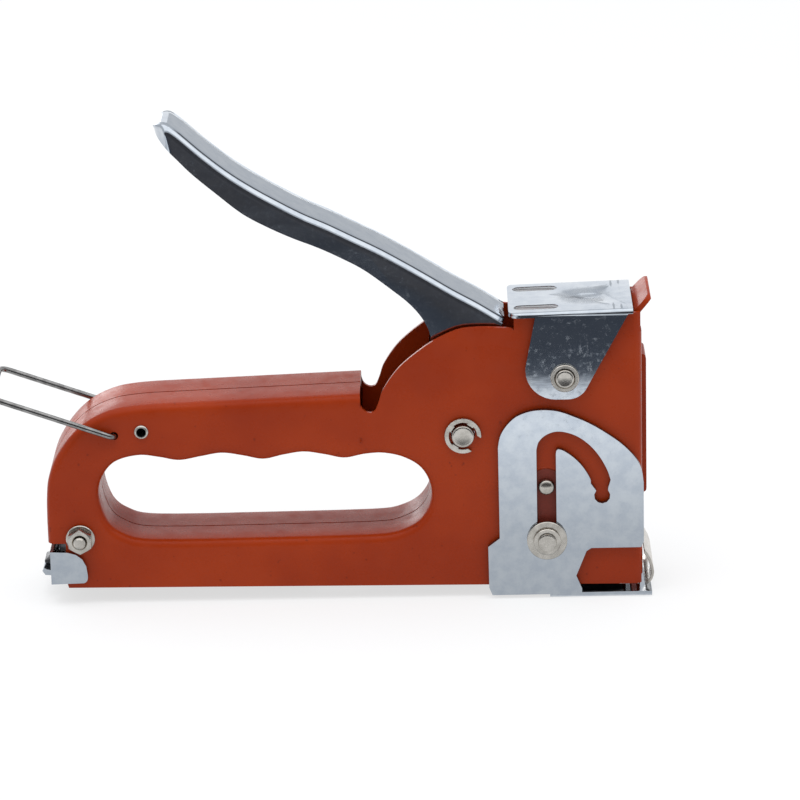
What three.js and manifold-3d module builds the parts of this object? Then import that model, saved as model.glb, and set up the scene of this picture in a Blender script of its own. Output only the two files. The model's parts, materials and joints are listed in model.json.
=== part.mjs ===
// A hand-squeezed staple gun. Two pressed steel shells carry a squeeze lever on a cross pin; the lever
// lifts a sprung hammer and its driver blade. A staple magazine slides out of the base, a wire bail
// locks the lever down, and a slotted nose guide slides on a pin and a stud at the muzzle.
// Millimetres. +X points to the nose, +Z up, and the tool is symmetric about y = 0.
import * as THREE from 'three';
import Module from 'manifold-3d';
import { mergeVertices } from 'three/addons/utils/BufferGeometryUtils.js';

// Body shells
const bodyWidth = 22;
const shellSheet = 1;
const shellEdgeRadius = 2;
const shellSeamGap = 0.5;
const pieceGap = 0.3;
const bodyRearX = -69.3;
const noseFrontX = 79.3;
const baseRearX = -64.5;
const baseRearZ = 4.4;
const baseNoseZ = 2.8;
const tailStepZ = 16.2;
const handleEndX = 9.7;
const handleTopZ = 53.7;
const shelfX = 47.9;
const shelfTopZ = 73;
const noseTopZ = 73.8;
const frontSlotHalf = 5;

// Squeeze lever
const pivotX = 34.9;
const pivotZ = 43;
const leverWidth = bodyWidth - 4.5;
const leverSheet = 1.2;
const leverEdgeRadius = 1.8;
const leverPinRadius = 2.8;
const armReach = 32;
const armDropDegrees = 18;
const armThickness = 6;
const rollerRadius = 2.4;

// Hammer, driver and main spring
const hammerX = 69;
const hammerSeatZ = 40;
const bladeRearX = 75.4;
const bladeThickness = 1.2;
const bladeWidth = 10.4;
const mainSpringRadius = 6;
const mainSpringWire = 1.7;
const mainSpringTurns = 7;

// Spring bracket over the nose
const bracketWidth = bodyWidth + 4;
const bracketSheet = 1.2;
const bracketRearX = 46.6;
const bracketFrontX = 77.1;
const bracketRearZ = 74.5;
const bracketFrontZ = 75.3;
const bracketPinX = 60.2;
const bracketPinZ = 58;
const bracketPinRadius = 2.35;

// Nose guide
const guideWidth = bodyWidth + 3.6;
const guideSheet = 1.4;
const guidePinX = 55.4;
const guidePinZ = 15.6;
const guidePinRadius = 1.8;
const guideStudZ = 29.2;
const guideSlotHalf = 2.4;

// Magazine
const channelWidth = 14.4;
const channelTopZ = 13.4;
const railWidth = 9;
const railTopZ = 11.4;
const railBottomZ = 4.2;
const stapleWidth = 10.6;
const stapleWire = 0.5;
const stapleTopZ = 12.3;
const stapleRearX = 10;
const tailWallX = -68.7;

// Rear fasteners and the locking bail
const boltX = -61;
const boltZ = 17.6;
const rivetX = -44.7;
const rivetZ = 45.3;
const bailPivotX = -51.5;
const bailPivotZ = 44.4;
const bailLength = 31.9;
const bailWire = 1.5;
const bailHalfWidth = bodyWidth / 2 + 1.4;
const bailAngleDegrees = 160;

const halfBody = bodyWidth / 2;
const paint = { color: 0xa8401f, roughness: 0.42, metalness: 0.1 };
const zinc = { color: 0xb9c2cb, roughness: 0.38, metalness: 0.85 };
const nickel = { color: 0xc9c5ba, roughness: 0.25, metalness: 0.95 };
const darkSteel = { color: 0x55565a, roughness: 0.45, metalness: 0.85 };
const springSteel = { color: 0x8d9096, roughness: 0.3, metalness: 0.9 };
const rubber = { color: 0x1d1d1e, roughness: 0.85, metalness: 0 };

const wasm = await Module();
wasm.setup();

function solid(geometry) {
  const bare = geometry.clone();
  bare.deleteAttribute('normal');
  bare.deleteAttribute('uv');
  const merged = mergeVertices(bare, 1e-4);
  const mesh = new wasm.Mesh({
    numProp: 3,
    vertProperties: new Float32Array(merged.attributes.position.array),
    triVerts: new Uint32Array(merged.index.array),
  });
  return new wasm.Manifold(mesh);
}

function union(first, ...others) {
  return others.reduce((sum, other) => sum.add(other), first);
}

function cut(first, ...tools) {
  return tools.reduce((left, tool) => left.subtract(tool), first);
}

// An outline in x and z, made into a plate from y = low to y = high. A bevel rounds both faces' edges.
function plate(outline, low, high, bevel = 0, curveSegments = 4) {
  const geometry = new THREE.ExtrudeGeometry(outline, {
    depth: high - low - 2 * bevel,
    bevelEnabled: bevel > 0,
    bevelThickness: bevel,
    bevelSize: bevel,
    bevelOffset: -bevel,
    bevelSegments: bevel > 1 ? 3 : 2,
    curveSegments,
  });
  geometry.rotateX(Math.PI / 2);
  geometry.translate(0, high - bevel, 0);
  return solid(geometry);
}

function box(x0, x1, y0, y1, z0, z1) {
  const geometry = new THREE.BoxGeometry(x1 - x0, y1 - y0, z1 - z0);
  geometry.translate((x0 + x1) / 2, (y0 + y1) / 2, (z0 + z1) / 2);
  return solid(geometry);
}

// A round bar across the tool, from y = low to y = high.
function bar(x, z, radius, low, high, segments = 28) {
  const geometry = new THREE.CylinderGeometry(radius, radius, high - low, segments);
  geometry.translate(x, (low + high) / 2, z);
  return solid(geometry);
}

function turned(points, segments = 28) {
  const profile = points.map(([radius, height]) => new THREE.Vector2(radius, height));
  return new THREE.LatheGeometry(profile, segments);
}

// A turned piece standing on the tool's side, its profile heights measured along y.
function turnedAcross(x, z, points, segments = 28) {
  const geometry = turned(points, segments);
  geometry.translate(x, 0, z);
  return solid(geometry);
}

function polygon(points) {
  return new THREE.Shape(points.map(([x, z]) => new THREE.Vector2(x, z)));
}

function addSpline(outline, points) {
  outline.splineThru(points.map(([x, z]) => new THREE.Vector2(x, z)));
}

// A round wire swept along a curve.
function wireAlong(curve, radius, steps, sides) {
  const section = new THREE.Shape();
  section.absarc(0, 0, radius, 0, Math.PI * 2, false);
  const geometry = new THREE.ExtrudeGeometry(section, {
    steps,
    extrudePath: curve,
    bevelEnabled: false,
    curveSegments: sides,
  });
  return solid(geometry);
}

// A coil of closed end turns and open middle turns about an axis along direction.
class Coil extends THREE.Curve {
  constructor(start, direction, side, radius, length, turns, wire) {
    super();
    Object.assign(this, { start, direction, side, radius, length, turns, wire });
    this.third = new THREE.Vector3().crossVectors(direction, side);
  }

  getPoint(t, target = new THREE.Vector3()) {
    const turn = t * this.turns;
    const endPitch = this.wire * 1.08;
    const openPitch = (this.length - this.wire - 2 * endPitch) / (this.turns - 2);
    const low = Math.min(turn, 1) * endPitch;
    const middle = Math.min(Math.max(turn - 1, 0), this.turns - 2) * openPitch;
    const high = Math.max(turn - this.turns + 1, 0) * endPitch;
    const height = this.wire / 2 + low + middle + high;
    const angle = turn * Math.PI * 2;
    return target
      .copy(this.start)
      .addScaledVector(this.direction, height)
      .addScaledVector(this.side, Math.cos(angle) * this.radius)
      .addScaledVector(this.third, Math.sin(angle) * this.radius);
  }
}

function node(name, manifold, finish) {
  const data = manifold.getMesh();
  const geometry = new THREE.BufferGeometry();
  geometry.setAttribute('position', new THREE.BufferAttribute(new Float32Array(data.vertProperties), 3));
  geometry.setIndex(new THREE.BufferAttribute(new Uint32Array(data.triVerts), 1));
  geometry.computeVertexNormals();
  const mesh = new THREE.Mesh(geometry, new THREE.MeshStandardMaterial(finish));
  mesh.name = name;
  return mesh;
}

// The shells' open edges: the base, the hump over the pivot, the notch behind it and the step at the tail.
// It passes outside the flanged edges, so that those keep their formed shape.
function openEdges() {
  const outline = new THREE.Shape();
  outline.moveTo(baseRearX, baseRearZ);
  outline.lineTo(noseFrontX + 5, baseNoseZ);
  outline.lineTo(noseFrontX + 5, noseTopZ);
  outline.lineTo(shelfX, shelfTopZ);
  outline.lineTo(shelfX, 69.8);
  addSpline(outline, [[47, 70.3], [43.5, 70.6], [39.1, 70.7], [34.7, 70.3], [30.5, 68.7], [25.8, 66], [19.6, 60.9],
    [15.6, 55.4], [14.3, 51.9], [13.5, 49.9]]);
  outline.quadraticCurveTo(13, 49.1, 12.1, 49.1);
  outline.quadraticCurveTo(10.2, 49.2, handleEndX, 51.6);
  outline.lineTo(handleEndX, handleTopZ + 5);
  outline.lineTo(bodyRearX - 5, handleTopZ + 5);
  outline.lineTo(bodyRearX - 5, tailStepZ);
  outline.lineTo(baseRearX - 0.3, tailStepZ);
  outline.lineTo(baseRearX - 0.3, baseRearZ + 1);
  outline.closePath();
  return outline;
}

function addHandleBack(outline) {
  outline.lineTo(-42, 52);
  addSpline(outline, [[-47, 51.6], [-52, 50.7], [-57.3, 48.4], [-62, 44.6], [-66.2, 38.8], [-68.4, 33.2],
    [-69.1, 28], [bodyRearX, 22]]);
}

// The finger opening: three shallow scallops along its roof and a straight floor.
function fingerHole() {
  const hole = new THREE.Path();
  hole.moveTo(-45, 16.4);
  addSpline(hole, [[-50.3, 17.9], [-54, 21.4], [-56, 28], [-55.1, 33], [-51.7, 37.1], [-45.8, 38.7], [-40.6, 38.1],
    [-35.7, 37.2], [-30.3, 38.1], [-25, 38.9], [-19.8, 38.1], [-14.8, 37.1], [-9.8, 38.1], [-4.7, 38.8],
    [0.5, 38], [5.4, 37], [10.4, 37.9], [15, 38.1], [20, 36.9], [24.3, 34.1], [26.6, 29.4], [26.3, 24.4],
    [23.4, 20], [18.5, 17.3], [13, 16.6]]);
  hole.closePath();
  return hole;
}

// The formed shell: flanges turned inwards round the handle, the rear, the front and the finger opening.
// Its outline runs past the shells' open edges, so that those stay flat plate.
function flangedOutline(inset) {
  const outline = new THREE.Shape();
  outline.moveTo(bodyRearX + inset, -12);
  outline.lineTo(noseFrontX - inset, -12);
  outline.lineTo(noseFrontX - inset, 90);
  outline.lineTo(handleEndX + 2 + inset, 90);
  outline.lineTo(handleEndX + 2 + inset, handleTopZ - inset);
  outline.lineTo(handleEndX, handleTopZ - inset);
  const top = new THREE.Shape();
  top.moveTo(handleEndX, handleTopZ);
  addHandleBack(top);
  offsetPoints(top.getPoints(3).slice(1), inset).forEach(([x, z]) => outline.lineTo(x, z));
  outline.closePath();
  const hole = new THREE.Path();
  const rim = fingerHole().getPoints(3);
  rim.pop();
  offsetLoop(rim, inset).forEach(([x, z], index) => (index ? hole.lineTo(x, z) : hole.moveTo(x, z)));
  hole.closePath();
  outline.holes.push(hole);
  return outline;
}

// Points moved sideways to the left of their own direction of travel.
function offsetPoints(points, distance) {
  return points.map((point, index) => {
    const before = points[Math.max(index - 1, 0)];
    const after = points[Math.min(index + 1, points.length - 1)];
    return movedAside(point, before, after, distance);
  });
}

function offsetLoop(points, distance) {
  const count = points.length;
  return points.map((point, index) =>
    movedAside(point, points[(index + count - 1) % count], points[(index + 1) % count], distance));
}

function movedAside(point, before, after, distance) {
  const length = Math.hypot(after.x - before.x, after.y - before.y);
  const x = point.x - (after.y - before.y) / length * distance;
  const z = point.y + (after.x - before.x) / length * distance;
  return [x, z];
}

function shellHoles(low, high) {
  return [
    bar(pivotX, pivotZ, leverPinRadius + 0.2, low, high),
    bar(bracketPinX, bracketPinZ, bracketPinRadius + 0.2, low, high),
    bar(guidePinX, guidePinZ, guidePinRadius + 0.2, low, high),
    bar(guidePinX, guideStudZ, 1.5, low, high),
    bar(boltX, boltZ, 1.7, low, high),
    bar(rivetX, rivetZ, 1.55, low, high),
    bar(bailPivotX, bailPivotZ, bailWire / 2 + 0.3, low, high),
  ];
}

function shellPair() {
  const outer = plate(flangedOutline(0), -halfBody, halfBody, shellEdgeRadius, 4);
  const innerHalf = halfBody - shellSheet;
  const inner = plate(flangedOutline(shellSheet), -innerHalf, innerHalf, shellEdgeRadius - shellSheet, 4);
  const formed = outer.subtract(inner).intersect(plate(openEdges(), -20, 20, 0, 3));
  const frontSlot = box(70, 90, -frontSlotHalf, frontSlotHalf, -5, 90);
  const lipWindow = box(77, 90, -innerHalf + 0.05, innerHalf - 0.05, 68.5, 90);
  const muzzle = box(77, 90, -innerHalf + 0.05, innerHalf - 0.05, -5, 5);
  const opened = cut(formed, frontSlot, lipWindow, muzzle, ...shellHoles(-20, 20));
  const right = opened.intersect(box(-120, 120, -20, -shellSeamGap / 2, -20, 120));
  const left = opened.intersect(box(-120, 120, shellSeamGap / 2, 20, -20, 120));
  return [node('right_shell', right, paint), node('left_shell', left, paint)];
}

// The cover behind the front flanges, its middle rib pressed out between them and its top bent out as a lip.
function frontPlate() {
  const rear = bladeRearX + bladeThickness + pieceGap;
  const front = rear + 1.2;
  const half = halfBody - shellEdgeRadius + 0.3;
  const side = polygon([[rear, 4.5], [front, 4.5], [front, 72.2], [81.7, 76.6], [81.5, 77.4], [80.9, 77.5],
    [rear, 73.2]]);
  const sheet = plate(side, -half, half).intersect(lipCorners(half));
  const rib = new THREE.Shape();
  rib.moveTo(front - 0.5, 24.5);
  rib.lineTo(80, 24.9);
  rib.quadraticCurveTo(80.6, 25, 80.6, 26);
  rib.lineTo(80.6, 59.5);
  rib.quadraticCurveTo(80.6, 60.8, 80, 61);
  rib.lineTo(front - 0.5, 61.6);
  const ribHalf = frontSlotHalf - pieceGap;
  return node('front_plate', sheet.add(plate(rib, -ribHalf, ribHalf)), paint);
}

// Rounds the two free corners of the lip.
function lipCorners(half) {
  const radius = 2.2;
  const face = new THREE.Shape();
  face.moveTo(-half - 1, -4);
  face.lineTo(half + 1, -4);
  face.lineTo(half + 1, 74);
  face.lineTo(half, 74);
  face.absarc(half - radius, 77.5 - radius, radius, 0, Math.PI / 2, false);
  face.absarc(radius - half, 77.5 - radius, radius, Math.PI / 2, Math.PI, false);
  face.lineTo(-half, 74);
  face.lineTo(-half - 1, 74);
  face.closePath();
  const geometry = new THREE.ExtrudeGeometry(face, { depth: 20, bevelEnabled: false, curveSegments: 5 });
  geometry.rotateX(Math.PI / 2);
  geometry.rotateZ(Math.PI / 2);
  geometry.translate(68, 0, 0);
  return solid(geometry);
}

// A bowed strip of polished spring steel across the foot of the nose.
function noseLeaf() {
  const strip = new THREE.Shape();
  strip.moveTo(79.7, 11.4);
  strip.quadraticCurveTo(82, 8.6, 82.2, 5.2);
  strip.quadraticCurveTo(82.1, 2.8, 80.4, 1.8);
  strip.lineTo(80, 2.4);
  strip.quadraticCurveTo(81.4, 3.2, 81.5, 5.2);
  strip.quadraticCurveTo(81.3, 8, 79.7, 10.2);
  return node('nose_leaf', plate(strip, -9.5, 9.5), nickel);
}

// The plated cap over the spring, with a leg down each side of the nose.
function springBracket() {
  const half = bracketWidth / 2;
  const slope = (bracketFrontZ - bracketRearZ) / (bracketFrontX - bracketRearX);
  const topAt = (x) => bracketRearZ + (x - bracketRearX) * slope;
  const capSide = polygon([[bracketRearX, topAt(bracketRearX) - bracketSheet],
    [bracketFrontX, topAt(bracketFrontX) - bracketSheet],
    [bracketFrontX, topAt(bracketFrontX)], [bracketRearX, topAt(bracketRearX)]]);
  const cap = plate(capSide, -half, half);
  const plan = new THREE.Shape();
  const corner = 3;
  plan.moveTo(bracketFrontX, -half);
  plan.lineTo(bracketFrontX, half);
  plan.lineTo(bracketRearX + corner, half);
  plan.absarc(bracketRearX + corner, half - corner, corner, Math.PI / 2, Math.PI, false);
  plan.absarc(bracketRearX + corner, corner - half, corner, Math.PI, Math.PI * 1.5, false);
  plan.closePath();
  const planGeometry = new THREE.ExtrudeGeometry(plan, { depth: 60, bevelEnabled: false, curveSegments: 5 });
  planGeometry.translate(0, 0, 40);
  const leg = new THREE.Shape();
  leg.moveTo(53.3, topAt(53.3));
  leg.lineTo(50.6, 61);
  leg.absarc(58.1, 59.9, 7.55, Math.PI, Math.PI * 1.5, false);
  leg.lineTo(61, 52.35);
  leg.absarc(61, 57.5, 5.15, -Math.PI / 2, -0.45, false);
  leg.lineTo(76.6, topAt(76.6));
  leg.closePath();
  const legs = plate(leg, -half, half).subtract(box(40, 90, bracketSheet - half, half - bracketSheet, 40, 72));
  const legSpace = box(40, 90, bracketSheet - half, half - bracketSheet, 40, 73);
  const underCap = plate(polygon([[40, 40], [90, 40], [90, topAt(90) - bracketSheet], [40, topAt(40) - bracketSheet]]),
    bracketSheet - half, half - bracketSheet);
  const slots = [-1, 1].map((side) => slotThrough(47.9, 59, side * (half - 5.2), 1.9));
  const dimple = ellipsoid(66.4, 0, topAt(66.4) + 2.1, 6.4, 4.6, 2.7);
  const shaped = cap.intersect(solid(planGeometry)).add(cut(legs, legSpace, underCap));
  const pinHole = bar(bracketPinX, bracketPinZ, bracketPinRadius + 0.2, -20, 20);
  return node('spring_bracket', cut(shaped, pinHole, dimple, ...slots), zinc);
}

// A straight slot with round ends, cut down through the cap.
function slotThrough(x0, x1, y, radius) {
  const outline = new THREE.Shape();
  outline.absarc(x0 + radius, y, radius, Math.PI / 2, Math.PI * 1.5, false);
  outline.absarc(x1 - radius, y, radius, -Math.PI / 2, Math.PI / 2, false);
  const geometry = new THREE.ExtrudeGeometry(outline, { depth: 12, bevelEnabled: false, curveSegments: 5 });
  geometry.translate(0, 0, 68);
  return solid(geometry);
}

function ellipsoid(x, y, z, a, b, c) {
  const geometry = new THREE.SphereGeometry(1, 24, 12);
  geometry.scale(a, b, c);
  geometry.translate(x, y, z);
  return solid(geometry);
}

function ringAcross(x, z, inner, outer, low, high) {
  return turnedAcross(x, z, [[inner, low], [outer, low], [outer, high], [inner, high], [inner, low]]);
}

// A push-on retaining clip: a ring with one open mouth and three inward lugs.
function retainingClip(x, z, inner, outer, low, high, mouthDegrees) {
  const ring = ringAcross(x, z, inner + 0.55, outer, low, high);
  const lugs = [90, 180, 270].map((turn) => {
    const angle = (mouthDegrees + turn) * Math.PI / 180;
    const lug = new THREE.BoxGeometry(outer - inner - 0.4, high - low, 1.8);
    lug.translate((outer + inner) / 2 - 0.1, 0, 0);
    lug.rotateY(-angle);
    lug.translate(x, (low + high) / 2, z);
    return solid(lug);
  });
  const mouth = new THREE.BoxGeometry(outer * 1.4, high - low + 1, outer * 0.9);
  mouth.translate(outer, 0, 0);
  mouth.rotateY(-mouthDegrees * Math.PI / 180);
  mouth.translate(x, (low + high) / 2, z);
  return union(ring, ...lugs).subtract(solid(mouth));
}

// A plain cross pin with chamfered ends.
function crossPin(x, z, radius, half) {
  return turnedAcross(x, z, [[0, -half], [radius - 0.4, -half], [radius, 0.4 - half], [radius, half - 0.4],
    [radius - 0.4, half], [0, half]]);
}

function leverPinSet() {
  const face = halfBody + pieceGap;
  return [
    node('lever_pin', crossPin(pivotX, pivotZ, leverPinRadius, halfBody + 2), nickel),
    node('lever_clip_right', retainingClip(pivotX, pivotZ, leverPinRadius + 0.15, 4.55, -face - 0.9, -face, -35), nickel),
    node('lever_clip_left', retainingClip(pivotX, pivotZ, leverPinRadius + 0.15, 4.55, face, face + 0.9, -35), nickel),
  ];
}

function bracketPinSet() {
  const face = bracketWidth / 2 + pieceGap;
  const inner = bracketPinRadius + 0.15;
  return [
    node('bracket_pin', crossPin(bracketPinX, bracketPinZ, bracketPinRadius, face + 1.3), nickel),
    node('bracket_clip_right', ringAcross(bracketPinX, bracketPinZ, inner, 3.5, -face - 0.7, -face), nickel),
    node('bracket_clip_left', ringAcross(bracketPinX, bracketPinZ, inner, 3.5, face, face + 0.7), nickel),
  ];
}

// The guide's pin, upset at both ends over its clips.
function headedPin(under, end) {
  const radius = guidePinRadius;
  const head = radius + 0.5;
  return turnedAcross(guidePinX, guidePinZ, [[0, -end], [head - 0.3, -end], [head, 0.3 - end], [head, -under],
    [radius, -under], [radius, under], [head, under], [head, end - 0.3], [head - 0.3, end], [0, end]]);
}

function guidePinSet() {
  const face = guideWidth / 2 + pieceGap;
  const washerOuter = face + 0.8;
  const clipFace = washerOuter + 0.2;
  const clipOuter = clipFace + 0.7;
  const inner = guidePinRadius + 0.15;
  return [
    node('guide_pin', headedPin(clipOuter + 0.1, clipOuter + 0.8), nickel),
    node('guide_washer_right', ringAcross(guidePinX, guidePinZ, inner, 5, -washerOuter, -face), nickel),
    node('guide_washer_left', ringAcross(guidePinX, guidePinZ, inner, 5, face, washerOuter), nickel),
    node('guide_clip_right', ringAcross(guidePinX, guidePinZ, inner, 3.4, -clipOuter, -clipFace), nickel),
    node('guide_clip_left', ringAcross(guidePinX, guidePinZ, inner, 3.4, clipFace, clipOuter), nickel),
  ];
}

// Domed studs that ride in the guide's slots.
function guideStuds() {
  return [['guide_stud_right', -1], ['guide_stud_left', 1]].map(([name, side]) => {
    const face = halfBody + 0.2;
    const profile = [[0, halfBody - 2], [1.3, halfBody - 2], [1.3, face], [2, face], [2, face + 1.3], [1.5, face + 1.8],
      [0, face + 2]];
    const placed = profile.map(([radius, height]) => [radius, side * height]);
    return node(name, turnedAcross(guidePinX, guideStudZ, side > 0 ? placed : placed.reverse()), nickel);
  });
}

// Guide legs outside both shells, joined by a web under the nose. Each leg has a hooked slot.
function noseGuide() {
  const half = guideWidth / 2;
  const leg = new THREE.Shape();
  leg.moveTo(41.6, 1);
  leg.lineTo(64, 1);
  leg.lineTo(64, 2.4);
  leg.lineTo(62.6, 5.8);
  leg.lineTo(65.2, 12.3);
  leg.lineTo(66.4, 13.1);
  leg.lineTo(78.8, 13.1);
  leg.lineTo(79.5, 14.7);
  leg.lineTo(79.5, 30);
  addSpline(leg, [[79, 33.6], [77.6, 36.6], [74.4, 40.2], [70.5, 43.2], [66.4, 45.8], [62.2, 47.8], [58.4, 49.2],
    [54.6, 49.6], [51.2, 49.2], [48, 47.9], [45.6, 45.6], [44.1, 43], [43.5, 40]]);
  leg.lineTo(43.6, 16.1);
  leg.lineTo(40.7, 13.9);
  leg.lineTo(40.8, 3);
  leg.closePath();
  leg.holes.push(hookedSlot());
  const inner = half - guideSheet;
  const legs = plate(leg, -half, half).subtract(box(30, 90, -inner, inner, -5, 60));
  const web = box(56, 81.5, -half, half, 0, guideSheet);
  const muzzleWindow = box(73.6, 78.4, -7.2, 7.2, -5, 5);
  return node('nose_guide', legs.add(web).subtract(muzzleWindow), zinc);
}

// A straight run up from the pin, over a bend, and down a sloping run to a narrow neck and a round seat.
function hookedSlot() {
  const x = guidePinX;
  const half = guideSlotHalf;
  const slot = new THREE.Path();
  slot.moveTo(x - half, guidePinZ);
  slot.lineTo(x - half, 39.2);
  addSpline(slot, [[53.6, 41.3], [55.3, 43], [57.8, 43.9], [60.6, 43.6], [63.6, 42.3], [66.5, 39.9], [68.8, 36.9],
    [70.5, 33.6], [71.3, 31]]);
  slot.lineTo(70.7, 29);
  slot.absarc(69.2, 26.9, 2, 0.75, Math.PI - 0.75, true);
  slot.lineTo(66.4, 30.2);
  addSpline(slot, [[66.2, 31.6], [64.4, 34.7], [62.2, 37.1], [59.9, 38.8], [58.7, 39.3]]);
  slot.quadraticCurveTo(x + half, 39.6, x + half, 38);
  slot.lineTo(x + half, guidePinZ);
  slot.absarc(x, guidePinZ, half, 0, Math.PI, true);
  slot.closePath();
  return slot;
}

// The bolt through the tail, with its nut, washers and the spacer that holds the shells apart.
function rearBoltSet() {
  const face = halfBody + 0.2;
  const nut = new THREE.CylinderGeometry(3.25, 3.25, 2.4, 6);
  nut.rotateY(Math.PI / 6);
  nut.translate(boltX, -face - 0.7 - 0.1 - 1.2, boltZ);
  const nutBody = solid(nut).subtract(bar(boltX, boltZ, 1.65, -20, 0));
  const tip = -face - 4.2;
  const head = turnedAcross(boltX, boltZ, [[0, tip], [1.2, tip], [1.5, tip + 0.3], [1.5, face + 0.8], [3, face + 0.8],
    [3, face + 2], [2.2, face + 2.8], [0, face + 3]]);
  const recess = box(boltX - 2, boltX + 2, face + 2.2, face + 4, boltZ - 0.4, boltZ + 0.4);
  const spacerEnd = halfBody - shellSheet - pieceGap;
  return [
    node('rear_bolt', head.subtract(recess), nickel),
    node('rear_nut', nutBody, nickel),
    node('rear_washer_right', ringAcross(boltX, boltZ, 1.65, 3.6, -face - 0.7, -face), nickel),
    node('rear_washer_left', ringAcross(boltX, boltZ, 1.65, 3.6, face, face + 0.7), nickel),
    node('rear_spacer', ringAcross(boltX, boltZ, 1.75, 3.1, -spacerEnd, spacerEnd), darkSteel),
  ];
}

// A tubular rivet through the handle, flared over both shells.
function handleRivet() {
  const face = halfBody + 0.1;
  return node('handle_rivet', turnedAcross(rivetX, rivetZ, [
    [1.1, -face - 0.5], [1.75, -face - 0.35], [1.75, -face], [1.4, -face],
    [1.4, face], [1.75, face], [1.75, face + 0.35], [1.1, face + 0.5], [1.1, -face - 0.5]]), nickel);
}

// The fixed roof of the magazine: a plate from shell to shell with a wall down each side of the rail.
function magazineChannel() {
  const half = channelWidth / 2;
  const reach = halfBody - shellSheet - pieceGap;
  const roof = box(-63.5, 75, -reach, reach, channelTopZ - 0.8, channelTopZ);
  const right = box(-63.5, 75, -half, 0.8 - half, 4.8, channelTopZ - 0.4);
  const left = box(-63.5, 75, half - 0.8, half, 4.8, channelTopZ - 0.4);
  return node('magazine_channel', union(roof, right, left), darkSteel);
}

function bumper() {
  const front = bladeRearX - pieceGap;
  return node('bumper', box(64.4, front, -5.5, 5.5, channelTopZ + 0.2, 15), rubber);
}

// The squeeze lever's channel: a rounded top plate with two flanges that deepen into cheeks at the pivot.
function leverTop(drop) {
  const curve = [[-39.6, 121.4], [-36.6, 122.7], [-33.6, 121.1], [-27.3, 115.4], [-21.2, 110.4], [-15.2, 106.3],
    [-9, 102.6], [-3.2, 99.4], [2.8, 96.6], [9, 93.4], [15.2, 90.2], [21.2, 86.7], [27.2, 83], [33.2, 79.2], [39.4, 75.6], [45.6, 71.6]];
  return curve.map(([x, z]) => [x - drop * 0.5, z - drop * 0.866]);
}

function leverChannel() {
  const half = leverWidth / 2;
  const side = new THREE.Shape();
  side.moveTo(45.6, 71.6);
  side.lineTo(44.8, 62);
  side.quadraticCurveTo(43.9, 54, 43.9, pivotZ);
  side.absarc(pivotX, pivotZ, 9, 0, Math.PI, true);
  side.quadraticCurveTo(26, 55, 27.5, 67.8);
  side.quadraticCurveTo(25.2, 73.2, 20.2, 78.4);
  addSpline(side, [[12, 84.9], [6, 88.4], [0.1, 91.3], [-5.9, 93.8], [-11.9, 96.7], [-17.9, 100.2], [-23.9, 105.2],
    [-29.8, 110.4], [-33.7, 114.5], [-38.2, 119.4]]);
  const top = leverTop(0);
  side.lineTo(top[0][0], top[0][1]);
  addSpline(side, top.slice(1));
  const sideSolid = plate(side, -half, half, 0, 3);
  const rounded = new THREE.Shape();
  rounded.moveTo(60, 64);
  rounded.lineTo(60, 10);
  rounded.lineTo(-75, 10);
  rounded.lineTo(-75, 158);
  rounded.lineTo(top[3][0], top[3][1]);
  addSpline(rounded, top.slice(4));
  const roundedSolid = plate(rounded, -half, half, leverEdgeRadius, 3);
  const under = new THREE.Shape();
  const below = leverTop(leverSheet);
  under.moveTo(60, below[below.length - 1][1] - 9);
  under.lineTo(60, 10);
  under.lineTo(-75, 10);
  under.lineTo(-75, below[0][1] - 1);
  addSpline(under, below.map(([x, z], index) => (index < 3 ? [x, 120 - (index === 0 ? 1 : 0)] : [x, z])));
  const inner = half - leverSheet;
  const hollow = plate(under, -inner, inner, 0, 3);
  const pinHole = bar(pivotX, pivotZ, leverPinRadius + 0.2, -20, 20);
  const shaped = sideSolid.intersect(roundedSolid).intersect(tipPlan(half));
  return node('lever_channel', cut(shaped, hollow, pinHole), zinc);
}

// The lever's plan: parallel sides and a rounded end at the grip tip, set square to the tip's slope.
function tipPlan(half) {
  const plan = new THREE.Shape();
  const round = 6;
  plan.moveTo(130, -half);
  plan.lineTo(130, half);
  plan.lineTo(round, half);
  plan.absarc(round, half - round, round, Math.PI / 2, Math.PI, false);
  plan.absarc(round, round - half, round, Math.PI, Math.PI * 1.5, false);
  plan.closePath();
  const geometry = new THREE.ExtrudeGeometry(plan, { depth: 120, bevelEnabled: false, curveSegments: 6 });
  geometry.translate(0, 0, -100);
  geometry.rotateY(42 * Math.PI / 180);
  geometry.translate(-41, 121.5, 0);
  geometry.translate(0, -121.5, 121.5);
  return solid(geometry);
}

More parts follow.
